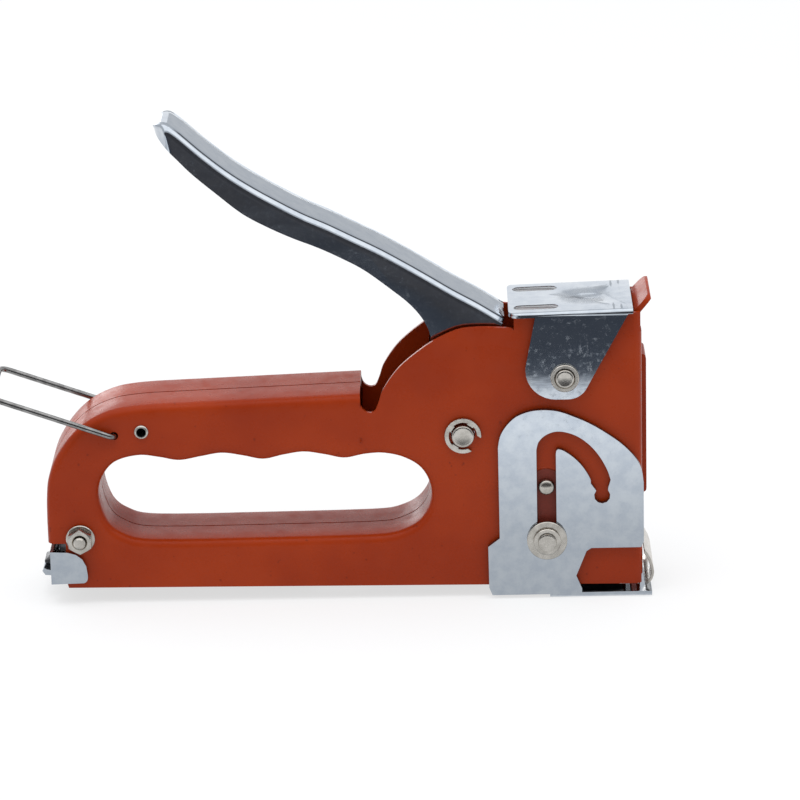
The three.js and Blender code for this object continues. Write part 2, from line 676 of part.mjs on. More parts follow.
// The lifting arm inside the channel: a nose that reaches forward under the hammer, a boss on the pin,
// and a tail that lies against the underside of the lever.
function leverArm() {
  const drop = armDropDegrees * Math.PI / 180;
  const noseX = pivotX + armReach * Math.cos(drop);
  const noseZ = pivotZ - armReach * Math.sin(drop);
  const half = armThickness / 2;
  const arm = new THREE.Shape();
  arm.moveTo(noseX - 1.7 * Math.sin(drop), noseZ - 1.7 * Math.cos(drop));
  arm.absarc(noseX, noseZ, 1.7, -Math.PI / 2 - drop, Math.PI / 2 - drop, false);
  arm.lineTo(pivotX + 6, pivotZ + 3.2);
  arm.lineTo(pivotX + 4.5, pivotZ + 12);
  arm.lineTo(30, 77.5);
  arm.lineTo(22, 82);
  arm.lineTo(20.8, 80);
  arm.lineTo(27.6, 70);
  arm.lineTo(pivotX - 6.5, pivotZ + 2);
  arm.absarc(pivotX, pivotZ, 6.8, Math.PI * 0.9, Math.PI * 1.6, false);
  arm.closePath();
  const rollerSpace = bar(noseX, noseZ, rollerRadius + 0.3, -1.8, 1.8);
  const pinHole = bar(pivotX, pivotZ, leverPinRadius + 0.2, -20, 20);
  const armBody = cut(plate(arm, -half, half), pinHole, bar(noseX, noseZ, 0.85, -5, 5), rollerSpace);
  return [
    node('lever_arm', armBody, darkSteel),
    node('lever_roller', ringAcross(noseX, noseZ, 0.85, rollerRadius, -1.5, 1.5), springSteel),
    node('roller_pin', bar(noseX, noseZ, 0.7, -half, half, 16), springSteel),
  ];
}

// The return spring on one side of the arm's boss and a plain bush on the other.
function pivotFillers() {
  const inner = leverWidth / 2 - leverSheet - pieceGap;
  const armSide = armThickness / 2 + pieceGap;
  const start = new THREE.Vector3(pivotX, armSide, pivotZ);
  const across = new THREE.Vector3(0, 1, 0);
  const room = inner - armSide;
  const wire = room / 4.16;
  const coil = new Coil(start, across, new THREE.Vector3(0, 0, 1), 4, room, 2.9, wire);
  return [
    node('lever_spring', wireAlong(coil, wire * 0.485, 52, 4), springSteel),
    node('lever_bush', ringAcross(pivotX, pivotZ, leverPinRadius + 0.3, 4.6, -inner, -armSide), darkSteel),
  ];
}

// The hammer: a spring seat over the lever's nose, and a front wall that carries the driver blade.
function hammerSet() {
  const drop = armDropDegrees * Math.PI / 180;
  const seatLow = pivotZ - armReach * Math.sin(drop) + rollerRadius + 0.4;
  const front = bladeRearX - pieceGap;
  const seat = box(hammerX - 4.8, front, -6.5, 6.5, seatLow, hammerSeatZ);
  const wall = box(front - 2.5, front, -6.5, 6.5, 15.3, hammerSeatZ);
  const bossRadius = mainSpringRadius - mainSpringWire - 0.4;
  const boss = turned([[0, 0], [bossRadius, 0], [bossRadius, 2], [bossRadius - 0.5, 2.6], [0, 2.6]]);
  boss.rotateX(Math.PI / 2);
  boss.translate(hammerX, 0, hammerSeatZ - 0.05);
  const blade = box(bladeRearX, bladeRearX + bladeThickness, -bladeWidth / 2, bladeWidth / 2, 4.6, 46);
  const window = box(bladeRearX - 1, bladeRearX + 3, -2.2, 2.2, 30, 35);
  return [
    node('hammer_block', union(seat, wall, solid(boss)), darkSteel),
    node('driver_blade', blade.subtract(window), springSteel),
  ];
}

function mainSpring() {
  const start = new THREE.Vector3(hammerX, 0, hammerSeatZ + 0.2);
  const length = 73.5 - hammerSeatZ - 0.2;
  const radius = mainSpringRadius - mainSpringWire / 2;
  const up = new THREE.Vector3(0, 0, 1);
  const coil = new Coil(start, up, new THREE.Vector3(-1, 0, 0), radius, length, mainSpringTurns, mainSpringWire);
  return node('main_spring', wireAlong(coil, mainSpringWire / 2, 112, 4), springSteel);
}

// A channel section open below, from x0 to x1.
function saddle(x0, x1, outerHalf, sheet, low, high) {
  const outer = box(x0, x1, -outerHalf, outerHalf, low, high);
  return outer.subtract(box(x0 - 1, x1 + 1, sheet - outerHalf, outerHalf - sheet, low - 1, high - sheet));
}

function magazineSet() {
  const half = railWidth / 2;
  const rail = saddle(tailWallX + 1.3, 74.9, half, 0.8, railBottomZ, railTopZ);
  const strip = saddle(stapleRearX, 75.1, stapleWidth / 2, stapleWire, railBottomZ + 0.2, stapleTopZ);
  const rod = new THREE.CylinderGeometry(1, 1, 132, 16);
  rod.rotateZ(Math.PI / 2);
  rod.translate(tailWallX + 1.3 + 66, 0, 7.4);
  return [
    node('magazine_rail', rail, darkSteel),
    node('staple_strip', strip, nickel),
    node('guide_rod', solid(rod), springSteel),
    tailCap(),
    tailLatch(),
  ];
}

// The cover on the magazine's rear end, wrapped round the outside of the shells, with a thumb tab.
function tailCap() {
  const half = halfBody + 1.4;
  const side = new THREE.Shape();
  side.moveTo(tailWallX, 5.9);
  side.lineTo(-60.6, 6.1);
  side.quadraticCurveTo(-59.5, 6.3, -59.5, 8);
  side.quadraticCurveTo(-59.5, 13.7, -64.4, 14.3);
  side.lineTo(tailWallX, 14.5);
  side.closePath();
  const hollow = box(tailWallX + 1, -50, -half + 1, half - 1, 0, 20);
  const tab = polygon([[tailWallX + 0.5, 5.9], [tailWallX + 0.5, 7.2], [-71.2, 7.7], [-71.5, 7.2], [-70.8, 6.1]]);
  return node('tail_cap', plate(side, -half, half).subtract(hollow).add(plate(tab, -6, 6)), zinc);
}

// The small dark catch on the back of the tail cap.
function tailLatch() {
  const rear = tailWallX - 0.2;
  const side = polygon([[rear, 8.2], [rear, 11.4], [rear - 0.8, 11.4], [rear - 0.9, 9.3], [rear - 2.2, 9],
    [rear - 2.2, 8.2]]);
  return node('tail_latch', plate(side, -3, 3), darkSteel);
}

// The follower: a saddle over the rail, tied under it to a plug that rides on the rod inside.
function pusherSet() {
  const rear = stapleRearX - pieceGap - 12;
  const front = stapleRearX - pieceGap;
  const half = stapleWidth / 2;
  const over = saddle(rear, front, half, 0.5, 3.3, stapleTopZ);
  const tie = box(rear, front, -half, half, 3.3, railBottomZ - 0.25);
  const plug = box(rear, front, -3.3, 3.3, 3.4, 10.2);
  const bore = new THREE.CylinderGeometry(1.2, 1.2, 40, 16);
  bore.rotateZ(Math.PI / 2);
  bore.translate(rear, 0, 7.4);
  const springStart = new THREE.Vector3(tailWallX + 1.5, 0, 7.4);
  const length = rear - tailWallX - 1.7;
  const coil = new Coil(springStart, new THREE.Vector3(1, 0, 0), new THREE.Vector3(0, 0, 1), 2, length, 16, 0.6);
  return [
    node('pusher', union(over, tie, plug).subtract(solid(bore)), springSteel),
    node('pusher_spring', wireAlong(coil, 0.3, 160, 2), springSteel),
  ];
}

// The wire bail: both ends turn in through the shells, and its bar swings over the lever's tip.
function lockBail() {
  const angle = bailAngleDegrees * Math.PI / 180;
  const ahead = new THREE.Vector3(Math.cos(angle), 0, Math.sin(angle));
  const pivot = new THREE.Vector3(bailPivotX, 0, bailPivotZ);
  const at = (along, y) => pivot.clone().addScaledVector(ahead, along).setY(y);
  const bend = 1.6;
  const half = bailHalfWidth;
  const path = new THREE.CurvePath();
  const corner = (before, apex, after) => new THREE.QuadraticBezierCurve3(before, apex, after);
  path.add(new THREE.LineCurve3(at(0, -9), at(0, bend - half)));
  path.add(corner(at(0, bend - half), at(0, -half), at(bend, -half)));
  path.add(new THREE.LineCurve3(at(bend, -half), at(bailLength - 3, -half)));
  path.add(corner(at(bailLength - 3, -half), at(bailLength, -half), at(bailLength, 3 - half)));
  path.add(new THREE.LineCurve3(at(bailLength, 3 - half), at(bailLength, half - 3)));
  path.add(corner(at(bailLength, half - 3), at(bailLength, half), at(bailLength - 3, half)));
  path.add(new THREE.LineCurve3(at(bailLength - 3, half), at(bend, half)));
  path.add(corner(at(bend, half), at(0, half), at(0, half - bend)));
  path.add(new THREE.LineCurve3(at(0, half - bend), at(0, 9)));
  return node('lock_bail', wireAlong(path, bailWire / 2, 100, 4), springSteel);
}

const tool = new THREE.Group();
tool.name = 'staple_gun';

function addGroup(name, ...members) {
  const group = new THREE.Group();
  group.name = name;
  group.add(...members.flat());
  tool.add(group);
}

addGroup('frame', shellPair(), frontPlate(), noseLeaf(), springBracket(), bracketPinSet(), leverPinSet(), guidePinSet(),
  guideStuds(), rearBoltSet(), handleRivet(), magazineChannel(), bumper());
addGroup('lever', leverChannel(), leverArm(), pivotFillers());
addGroup('hammer', hammerSet(), mainSpring());
addGroup('magazine', magazineSet());
addGroup('follower', pusherSet());
addGroup('bail', lockBail());
addGroup('guide', noseGuide());

export default tool;
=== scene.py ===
import json
import bpy
import bmesh
import numpy as np
from mathutils import Matrix, Vector


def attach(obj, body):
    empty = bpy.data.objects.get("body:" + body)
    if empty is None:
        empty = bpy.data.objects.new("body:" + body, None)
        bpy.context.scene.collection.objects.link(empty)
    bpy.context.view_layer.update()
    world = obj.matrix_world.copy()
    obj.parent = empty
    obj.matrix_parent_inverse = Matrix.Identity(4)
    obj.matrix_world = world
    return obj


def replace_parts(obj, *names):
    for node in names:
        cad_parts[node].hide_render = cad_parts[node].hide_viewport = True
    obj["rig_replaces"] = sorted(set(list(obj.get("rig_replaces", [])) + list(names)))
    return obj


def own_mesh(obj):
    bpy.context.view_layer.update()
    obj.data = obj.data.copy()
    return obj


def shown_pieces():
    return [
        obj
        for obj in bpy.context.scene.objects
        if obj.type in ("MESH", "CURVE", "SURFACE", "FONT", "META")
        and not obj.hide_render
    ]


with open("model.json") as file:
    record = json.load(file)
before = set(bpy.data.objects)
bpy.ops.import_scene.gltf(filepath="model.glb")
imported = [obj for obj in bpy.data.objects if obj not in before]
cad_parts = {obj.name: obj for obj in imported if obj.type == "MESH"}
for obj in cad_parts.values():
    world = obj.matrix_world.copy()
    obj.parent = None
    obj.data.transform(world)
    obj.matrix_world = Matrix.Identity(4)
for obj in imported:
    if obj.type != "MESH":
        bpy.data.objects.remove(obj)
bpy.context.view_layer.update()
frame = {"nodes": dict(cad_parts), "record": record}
mm = 0.001

cameraSet = {
    "aim": (19.4, 0.0, 48.7),  # mm, the point the lens axis passes through
    "distance": 1050.0,
    "downDegrees": 18.4,
    "turnDegrees": 0.78,
    "rollDegrees": 1.35,
    "lens": 189.3,
}


def setUpCamera():
    down, turn, roll = np.radians([cameraSet["downDegrees"], cameraSet["turnDegrees"], cameraSet["rollDegrees"]])
    ahead = np.array([-np.sin(turn) * np.cos(down), np.cos(turn) * np.cos(down), -np.sin(down)])
    level = np.array([np.cos(turn), np.sin(turn), 0.0])
    upright = np.cross(level, ahead)
    right = level * np.cos(roll) - upright * np.sin(roll)
    up = upright * np.cos(roll) + level * np.sin(roll)
    place = (np.array(cameraSet["aim"]) - ahead * cameraSet["distance"]) * mm
    camera = bpy.data.objects.new("camera", bpy.data.cameras.new("camera"))
    camera.data.lens = cameraSet["lens"]
    camera.data.sensor_width = 36
    camera.data.clip_start = 0.01
    camera.data.clip_end = 50
    columns = np.eye(4)
    columns[:3, 0], columns[:3, 1], columns[:3, 2], columns[:3, 3] = right, up, -ahead, place
    camera.matrix_world = Matrix(columns.tolist())
    bpy.context.scene.collection.objects.link(camera)
    bpy.context.scene.camera = camera


class Wire:
    # an output socket that Python sums can use: each sign adds one Math node
    def __init__(self, bench, socket):
        self.bench, self.socket = bench, socket

    def sum(self, operation, other, turned=False):
        pair = (other, self) if turned else (self, other)
        return self.bench.add("ShaderNodeMath", {"operation": operation}, {0: pair[0], 1: pair[1]})

    def __add__(self, other):
        return self.sum("ADD", other)

    def __sub__(self, other):
        return self.sum("SUBTRACT", other)

    def __rsub__(self, other):
        return self.sum("SUBTRACT", other, True)

    def __mul__(self, other):
        return self.sum("MULTIPLY", other)

    def __pow__(self, other):
        return self.sum("POWER", other)

    __radd__ = __add__
    __rmul__ = __mul__


class Bench:
    # one material and the single way its nodes are added
    def __init__(self, name):
        self.material = bpy.data.materials.new(name)
        self.material.use_nodes = True
        self.tree = self.material.node_tree
        self.tree.nodes.clear()
        self.place = self.add("ShaderNodeTexCoord", out="Object")

    def add(self, kind, settings=None, sockets=None, out=0):
        node = self.tree.nodes.new(kind)
        for key, value in (settings or {}).items():
            if key == "stops":
                self.setStops(node.color_ramp, value)
            else:
                setattr(node, key, value)
        for key, value in (sockets or {}).items():
            if isinstance(value, Wire):
                self.tree.links.new(value.socket, node.inputs[key])
            else:
                node.inputs[key].default_value = value
        return Wire(self, node.outputs[out]) if len(node.outputs) else node

    def setStops(self, ramp, stops):
        while len(ramp.elements) > 1:
            ramp.elements.remove(ramp.elements[-1])
        for index, (position, color) in enumerate(stops):
            element = ramp.elements[0] if index == 0 else ramp.elements.new(position)
            element.position = position
            element.color = (*color, 1.0) if len(color) == 3 else color

    def noise(self, scale, detail=3.0, rough=0.55, stretch=(1, 1, 1)):
        where = self.add("ShaderNodeMapping", None, {"Vector": self.place, "Scale": stretch})
        sockets = {"Vector": where, "Scale": scale, "Detail": detail, "Roughness": rough}
        return self.add("ShaderNodeTexNoise", None, sockets)

    def split(self):
        parts = self.add("ShaderNodeSeparateXYZ", None, {0: self.place})
        return [Wire(self, parts.socket.node.outputs[k]) for k in range(3)]

    def size(self, value):
        return self.add("ShaderNodeMath", {"operation": "ABSOLUTE"}, {0: value})

    def ease(self, value, low, high):
        # 0 below low and 1 above high, with a smooth rise between them
        return self.add("ShaderNodeMapRange", {"interpolation_type": "SMOOTHSTEP"}, {0: value, 1: low, 2: high})

    def blend(self, share, first, second):
        first, second = ((*color, 1) if isinstance(color, tuple) else color for color in (first, second))
        return self.add("ShaderNodeMix", {"data_type": "RGBA"}, {0: share, 6: first, 7: second}, out=2)

    def bump(self, height, distance, strength=1.0, over=None):
        sockets = {"Height": height, "Distance": distance, "Strength": strength}
        if over is not None:
            sockets["Normal"] = over
        return self.add("ShaderNodeBump", None, sockets)

    def finish(self, **sockets):
        names = {"color": "Base Color", "roughness": "Roughness", "metallic": "Metallic", "normal": "Normal",
                 "coat": "Coat Weight", "coatRoughness": "Coat Roughness", "specular": "Specular IOR Level",
                 "glow": "Emission Color", "glowStrength": "Emission Strength"}
        shader = self.add("ShaderNodeBsdfPrincipled", None, {names[key]: value for key, value in sockets.items()})
        self.add("ShaderNodeOutputMaterial", None, {"Surface": shader})
        return self.material


recessSet = {"x": 0.0554, "z": 0.0215, "straight": 0.0078, "round": 0.0042, "slope": 0.0004}


def orangePaint(name="orangePaint", shadedRecess=False):
    look = {"light": (0.325, 0.034, 0.004), "deep": (0.268, 0.025, 0.003), "speck": (0.11, 0.010, 0.003)}
    bench = Bench(name)
    drift = bench.ease(bench.noise(38, 3), 0.3, 0.7)
    body = bench.blend(drift, look["light"], look["deep"])
    dust = bench.ease(bench.noise(620, 2, 0.4), 0.71, 0.76)
    color = bench.blend(dust * 0.45, body, look["speck"])
    rub = bench.noise(260, 5, 0.6)
    roughness = 0.27 + 0.14 * bench.ease(rub, 0.4, 0.75)
    peel = bench.bump(bench.noise(900, 2, 0.5), 0.00006, 0.35)
    coarse = bench.bump(bench.noise(140, 2, 0.5), 0.00022, 0.25, peel)
    if shadedRecess:
        # a shallow oblong pressed in round the stud and the pin under the guide, its paint darkened as painted shade
        # under the guide plate
        x, y, z = bench.split()
        above = bench.size(z - recessSet["z"]) - recessSet["straight"]
        over = bench.add("ShaderNodeMath", {"operation": "MAXIMUM"}, {0: above, 1: 0.0})
        side = x - recessSet["x"]
        reach = (side * side + over * over) ** 0.5
        inside = 1 - bench.ease(reach, recessSet["round"], recessSet["round"] + recessSet["slope"])
        color = bench.blend(inside * 0.6, color, (0.085, 0.03, 0.03))
        coarse = bench.bump(inside, 0.0004, 1.0, coarse)
    return bench.finish(color=color, roughness=roughness, normal=coarse, specular=0.14)


# the edge colour is bare cut steel darkened further as painted shade
zincSet = {"pale": (0.56, 0.595, 0.635), "blue": (0.475, 0.515, 0.57), "edge": (0.16, 0.16, 0.165)}


def zincParts(bench):
    # a fine mottled coat: paler and bluer patches, small duller flecks and a few hairline scratches
    cloud = bench.ease(bench.noise(330, 6, 0.62), 0.3, 0.7)
    color = bench.blend(cloud, zincSet["pale"], zincSet["blue"])
    flecks = bench.ease(bench.noise(800, 5, 0.65), 0.5, 0.72)
    roughness = 0.045 + 0.035 * cloud + 0.13 * flecks
    dents = bench.bump(bench.noise(95, 3, 0.5), 0.00035, 0.10)
    lines = bench.bump(bench.noise(300, 3, 0.7, (0.4, 1, 3)), 0.00004, 0.06, dents)
    return color, roughness, lines


def zincPlate():
    bench = Bench("zincPlate")
    color, roughness, lines = zincParts(bench)
    return bench.finish(color=color, roughness=roughness, metallic=1.0, normal=lines)


def leverZinc():
    # a dark line of painted shade lies in the crease where the flat top meets the rolled near edge
    bench = Bench("leverZinc")
    color, roughness, lines = zincParts(bench)
    streak = bench.ease(bench.noise(120, 4, 0.6, (0.35, 1, 1.6)), 0.35, 0.7)
    x, y, z = bench.split()
    off = bench.size(y + 0.0068)
    creaseShade = (1 - bench.ease(off, 0.00045, 0.0007)) * bench.ease(x, -0.0345, -0.0325)
    color = bench.blend(creaseShade * 0.94, color, (0.02, 0.022, 0.03))
    return bench.finish(color=color, roughness=roughness + 0.1 * streak + 0.3 * creaseShade, metallic=1.0, normal=lines)


def guideZinc():
    # the cut edges of the sheet are bare steel, painted darker than its coated faces and darkened further as painted
    # shade from the shell close behind
    bench = Bench("guideZinc")
    color, roughness, lines = zincParts(bench)
    x, y, z = bench.split()
    inside = 1 - bench.ease(bench.size(y), 0.01256, 0.0127)
    cutEdge = inside * bench.ease(z, 0.0015, 0.0019)
    color = bench.blend(cutEdge * 0.85, color, zincSet["edge"])
    return bench.finish(color=color, roughness=roughness + 0.25 * cutEdge, metallic=1.0, normal=lines)


dimpleSet = {"x": 0.0652, "long": 0.0064, "wide": 0.0066, "creases": (0.0722, 0.0741)}


def bracketZinc():
    # the cap has an oval hollow, steeper at its rear end, and two faint pressed lines near its front
    bench = Bench("bracketZinc")
    color, roughness, lines = zincParts(bench)
    x, y, z = bench.split()
    dx = (x - dimpleSet["x"]) * (1 / dimpleSet["long"])
    dy = y * (1 / dimpleSet["wide"])
    reach = (dx * dx + dy * dy) ** 0.5
    innerX = (x - dimpleSet["x"] + 0.0013) * (1 / 0.0042)
    innerY = y * (1 / 0.0024)
    inner = (innerX * innerX + innerY * innerY) ** 0.5
    bowl = bench.ease(reach, 0.55, 1.0) * 0.35 + bench.ease(inner, 0.25, 1.0) * 0.65
    ridges = sum(1 - bench.ease(bench.size(x - place), 0.0, 0.0006) for place in dimpleSet["creases"])
    onCap = bench.ease(z, 0.0738, 0.0742)
    pressed = bench.bump((bowl + ridges * 0.25) * onCap, 0.00011, 1.0, lines)
    # painted shade darkens the hollow's steep end, and the slots' punched walls are rough and painted pale as a
    # highlight
    shadeX, shadeY = (x - 0.0639 - y * 0.5) * (1 / 0.0024), (y + 0.0004) * (1 / 0.0013)
    shade = 1 - bench.ease((shadeX * shadeX + shadeY * shadeY) ** 0.5, 0.3, 1.0)
    color = bench.blend(shade * onCap * 0.55, color, (0.08, 0.085, 0.11))
    under = 1 - bench.ease(z - 0.0745 - (x - 0.0466) * 0.02623, -0.0003, -0.00012)
    wall = under * slotWallLightMask(bench, x, y, z)
    color = bench.blend(wall, color, (0.86, 0.87, 0.88))
    satin = (1 - bench.ease(reach, 0.8, 1.3)) * onCap * 0.2
    return bench.finish(color=color, roughness=roughness + 0.6 * wall + satin, metallic=1 - wall, normal=pressed)


def slotWallLightMask(bench, x, y, z):
    # 1 within the blocks of space that hold the two slots, whose walls get a painted highlight
    along = 1 - bench.ease(bench.size(x - 0.05345), 0.0057, 0.0058)
    across = 1 - bench.ease(bench.size(bench.size(y) - 0.0078), 0.00205, 0.0021)
    return along * across * bench.ease(z, 0.0731, 0.0732)


def rivetNickel():
    # the rivet's bore is painted near-black as shade, since nothing is seen down it but dark
    bench = Bench("rivetNickel")
    x, y, z = bench.split()
    dx, dz = x + 0.0447, z - 0.0453
    away = (dx * dx + dz * dz) ** 0.5
    bore = 1 - bench.ease(away, 0.00118, 0.0013)
    color = bench.blend(bore, (0.6, 0.58, 0.53), (0.004, 0.004, 0.004))
    worn = bench.noise(900, 3)
    lines = bench.bump(worn, 0.00003, 0.3)
    return bench.finish(color=color, roughness=0.2 + 0.15 * worn + 0.4 * bore, metallic=1 - bore, normal=lines)


def nickelPlate():
    look = {"pale": (0.64, 0.60, 0.545), "deep": (0.47, 0.44, 0.395)}
    bench = Bench("nickelPlate")
    cloud = bench.ease(bench.noise(420, 4, 0.6), 0.3, 0.7)
    color = bench.blend(cloud, look["pale"], look["deep"])
    roughness = 0.2 + 0.12 * bench.noise(900, 3, 0.6)
    lines = bench.bump(bench.noise(1500, 2, 0.6), 0.00003, 0.3)
    return bench.finish(color=color, roughness=roughness, metallic=1.0, normal=lines)


def darkSteel():
    look = {"pale": (0.16, 0.16, 0.165), "deep": (0.07, 0.068, 0.068)}
    bench = Bench("darkSteel")
    cloud = bench.ease(bench.noise(210, 5, 0.6), 0.3, 0.7)
    color = bench.blend(cloud, look["pale"], look["deep"])
    roughness = 0.30 + 0.2 * cloud
    grain = bench.bump(bench.noise(1300, 3, 0.6), 0.00004, 0.4)
    return bench.finish(color=color, roughness=roughness, metallic=0.9, normal=grain)


def springSteel():
    look = {"pale": (0.36, 0.35, 0.34), "deep": (0.2, 0.195, 0.19)}
    bench = Bench("springSteel")
    cloud = bench.ease(bench.noise(330, 4, 0.6), 0.3, 0.7)
    color = bench.blend(cloud, look["pale"], look["deep"])
    roughness = 0.17 + 0.13 * cloud
    drawn = bench.bump(bench.noise(1800, 2, 0.6), 0.00003, 0.3)
    return bench.finish(color=color, roughness=roughness, metallic=1.0, normal=drawn)


def blackRubber():
    bench = Bench("blackRubber")
    color = bench.blend(bench.noise(400, 3), (0.012, 0.012, 0.012), (0.03, 0.03, 0.03))
    grain = bench.bump(bench.noise(2200, 2), 0.00004, 0.5)
    return bench.finish(color=color, roughness=0.8, normal=grain)


finishes = {
    "orange_paint": orangePaint(),
    "zinc_plate": zincPlate(),
    "nickel_plate": nickelPlate(),
    "dark_steel": darkSteel(),
    "spring_steel": springSteel(),
    "black_rubber": blackRubber(),
}
print("materials made:", len(finishes))

slotOf = {row["node"]: row["material_slot"] for row in frame["record"]["subparts"]}
bodyOf = {node: body for body, nodes in frame["record"]["behaviour"]["bodies"].items() for node in nodes}


def quadsOf(rows, columns, closeRows=False, closeColumns=False):
    # each point is joined to the next along both ways
    first = np.arange(rows if closeRows else rows - 1)
    second = np.arange(columns if closeColumns else columns - 1)
    a, b = np.meshgrid(first, second, indexing="ij")
    nextA, nextB = (a + 1) % rows, (b + 1) % columns
    corners = [a * columns + b, nextA * columns + b, nextA * columns + nextB, a * columns + nextB]
    return np.stack(corners, -1).reshape(-1, 4)


def meshOf(name, points, faces, outward=True):
    # points are in millimetres; those that no face uses are dropped first, and meeting points are merged
    points = np.asarray(points, float).reshape(-1, 3) * mm
    used, order = np.unique(np.concatenate([np.ravel(face) for face in faces]), return_inverse=True)
    sizes = np.array([len(face) for face in faces])
    renumbered = np.split(order.ravel(), np.cumsum(sizes)[:-1])
    mesh = bpy.data.meshes.new(name)
    mesh.from_pydata(points[used].tolist(), [], [face.tolist() for face in renumbered])
    work = bmesh.new()
    work.from_mesh(mesh)
    bmesh.ops.remove_doubles(work, verts=work.verts, dist=2e-6)
    if outward:
        bmesh.ops.recalc_face_normals(work, faces=work.faces)
    work.to_mesh(mesh)
    work.free()
    return mesh


def facing(mesh, axis):
    # the mesh's faces' normals along one axis, each weighted by its area, added up
    normals, areas = np.empty(len(mesh.polygons) * 3), np.empty(len(mesh.polygons))
    mesh.polygons.foreach_get("normal", normals)
    mesh.polygons.foreach_get("area", areas)
    return float(normals.reshape(-1, 3)[:, axis] @ areas)


def settle(name, mesh, *nodes, sharp=35, bevel=0.0, segments=2, thickness=0.0):
    # puts a finished mesh in the scene on the body of the nodes it stands for
    mesh.shade_smooth()
    mesh.set_sharp_from_angle(angle=np.radians(sharp))
    piece = bpy.data.objects.new(name, mesh)
    bpy.context.scene.collection.objects.link(piece)
    if thickness:
        wall = piece.modifiers.new("wall", "SOLIDIFY")
        wall.thickness, wall.offset, wall.use_even_offset = thickness * mm, -1, True
    if bevel:
        edge = piece.modifiers.new("edge", "BEVEL")
        edge.width, edge.segments, edge.limit_method = bevel * mm, segments, "ANGLE"
        edge.angle_limit = np.radians(38)
        edge.harden_normals = True
    mesh.materials.clear()
    mesh.materials.append(finishes[slotOf[nodes[0]]])
    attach(piece, bodyOf[nodes[0]])
    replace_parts(piece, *nodes)
    return piece


def cornerTool(corners, y, z, radius, count=7):
    # what lies outside a quarter circle in the angle between two faces, carried along x between two (x, y, z) corners;
    # y and z are the signs of the outward directions
    turn = np.linspace(0, np.pi / 2, count)
    section = np.column_stack([-1 + np.sin(turn), -1 + np.cos(turn)]) * radius
    section = np.vstack([section[::-1], [(-radius, 0.4)], [(0.4, 0.4)], [(0.4, -radius)]])[:, ::-1]
    size = len(section)
    shape = np.column_stack([np.zeros(size), section * (y, z)])
    grid = np.asarray(corners, float)[:, None, :] + shape
    return grid.reshape(-1, 3), quadsOf(2, size, False, True).tolist() + [list(range(size)), list(range(size, 2 * size))]


def dressed(node, bevel=0.18, sharp=30, segments=2, tools=None, finish=None):
    # a merged copy of a CAD node with rounded edges, its folds first rounded by the tools
    source = frame["nodes"][node].data
    work = bmesh.new()
    work.from_mesh(source)
    bmesh.ops.remove_doubles(work, verts=work.verts, dist=2e-6)
    bmesh.ops.dissolve_limit(work, angle_limit=np.radians(0.6), verts=work.verts, edges=work.edges)
    mesh = bpy.data.meshes.new(node + "Look")
    work.to_mesh(mesh)
    work.free()
    if tools:
        mesh = punched(mesh, meshOf("tools", *joined(tools)), 0)
    piece = settle(node + "Look", mesh, node, sharp=sharp, bevel=bevel, segments=segments)
    if finish:
        mesh.materials[0] = finish
    return piece


def smoothRun(points, perSpan=8):
    # a cubic through each pair of points, its slope at a point half the step between that point's neighbours
    p1 = np.asarray(points, float)
    p0, p2, p3 = np.vstack([p1[:1], p1[:-2]]), p1[1:], np.vstack([p1[2:], p1[-1:]])
    p1 = p1[:-1]
    t = (np.arange(perSpan) / perSpan)[None, :, None]
    p0, p1, p2, p3 = (p[:, None, :] for p in (p0, p1, p2, p3))
    square, cube = 2 * p0 - 5 * p1 + 4 * p2 - p3, 3 * p1 - p0 - 3 * p2 + p3
    run = 0.5 * (2 * p1 + (p2 - p0) * t + square * t ** 2 + cube * t ** 3)
    return np.vstack([run.reshape(-1, run.shape[-1]), np.asarray(points, float)[-1:]])


def bendRun(start, corner, end, count=8):
    # a parabola from start to end that leaves and arrives towards the corner
    t = np.linspace(0, 1, count)[:, None]
    start, corner, end = (np.asarray(p, float) for p in (start, corner, end))
    return (1 - t) ** 2 * start + 2 * t * (1 - t) * corner + t ** 2 * end


def evenly(points, step):
    # the same line with its points spaced evenly along it
    points = np.asarray(points, float)
    along = np.concatenate([[0], np.cumsum(np.linalg.norm(np.diff(points, axis=0), axis=1))])
    count = max(2, int(round(along[-1] / step)) + 1)
    marks = np.linspace(0, along[-1], count)
    return np.stack([np.interp(marks, along, points[:, k]) for k in range(points.shape[1])], -1)


def leftOf(points, closed=False):
    # the unit normal on the left of each point's direction of travel, in the x-z plane
    if closed:
        step = np.roll(points, -1, axis=0) - np.roll(points, 1, axis=0)
    else:
        step = np.gradient(points, axis=0)
    step = step / np.linalg.norm(step, axis=1, keepdims=True)
    return np.stack([-step[:, 1], step[:, 0]], -1)


def turnedPiece(name, node, x, z, profile, around=48, closed=False, bevel=0.0, sharp=35):
    # a profile of (radius, y) turned about a line across the tool through (x, z)
    profile = np.asarray(profile, float)
    angle = np.arange(around) / around * 2 * np.pi
    radius, y = profile[:, :1], profile[:, 1:]
    grid = np.stack([x + radius * np.cos(angle), y + 0 * angle, z + radius * np.sin(angle)], -1)
    faces = quadsOf(len(profile), around, closed, True).tolist()
    mesh = meshOf(name, grid, faces)
    return settle(name, mesh, node, sharp=sharp, bevel=bevel)


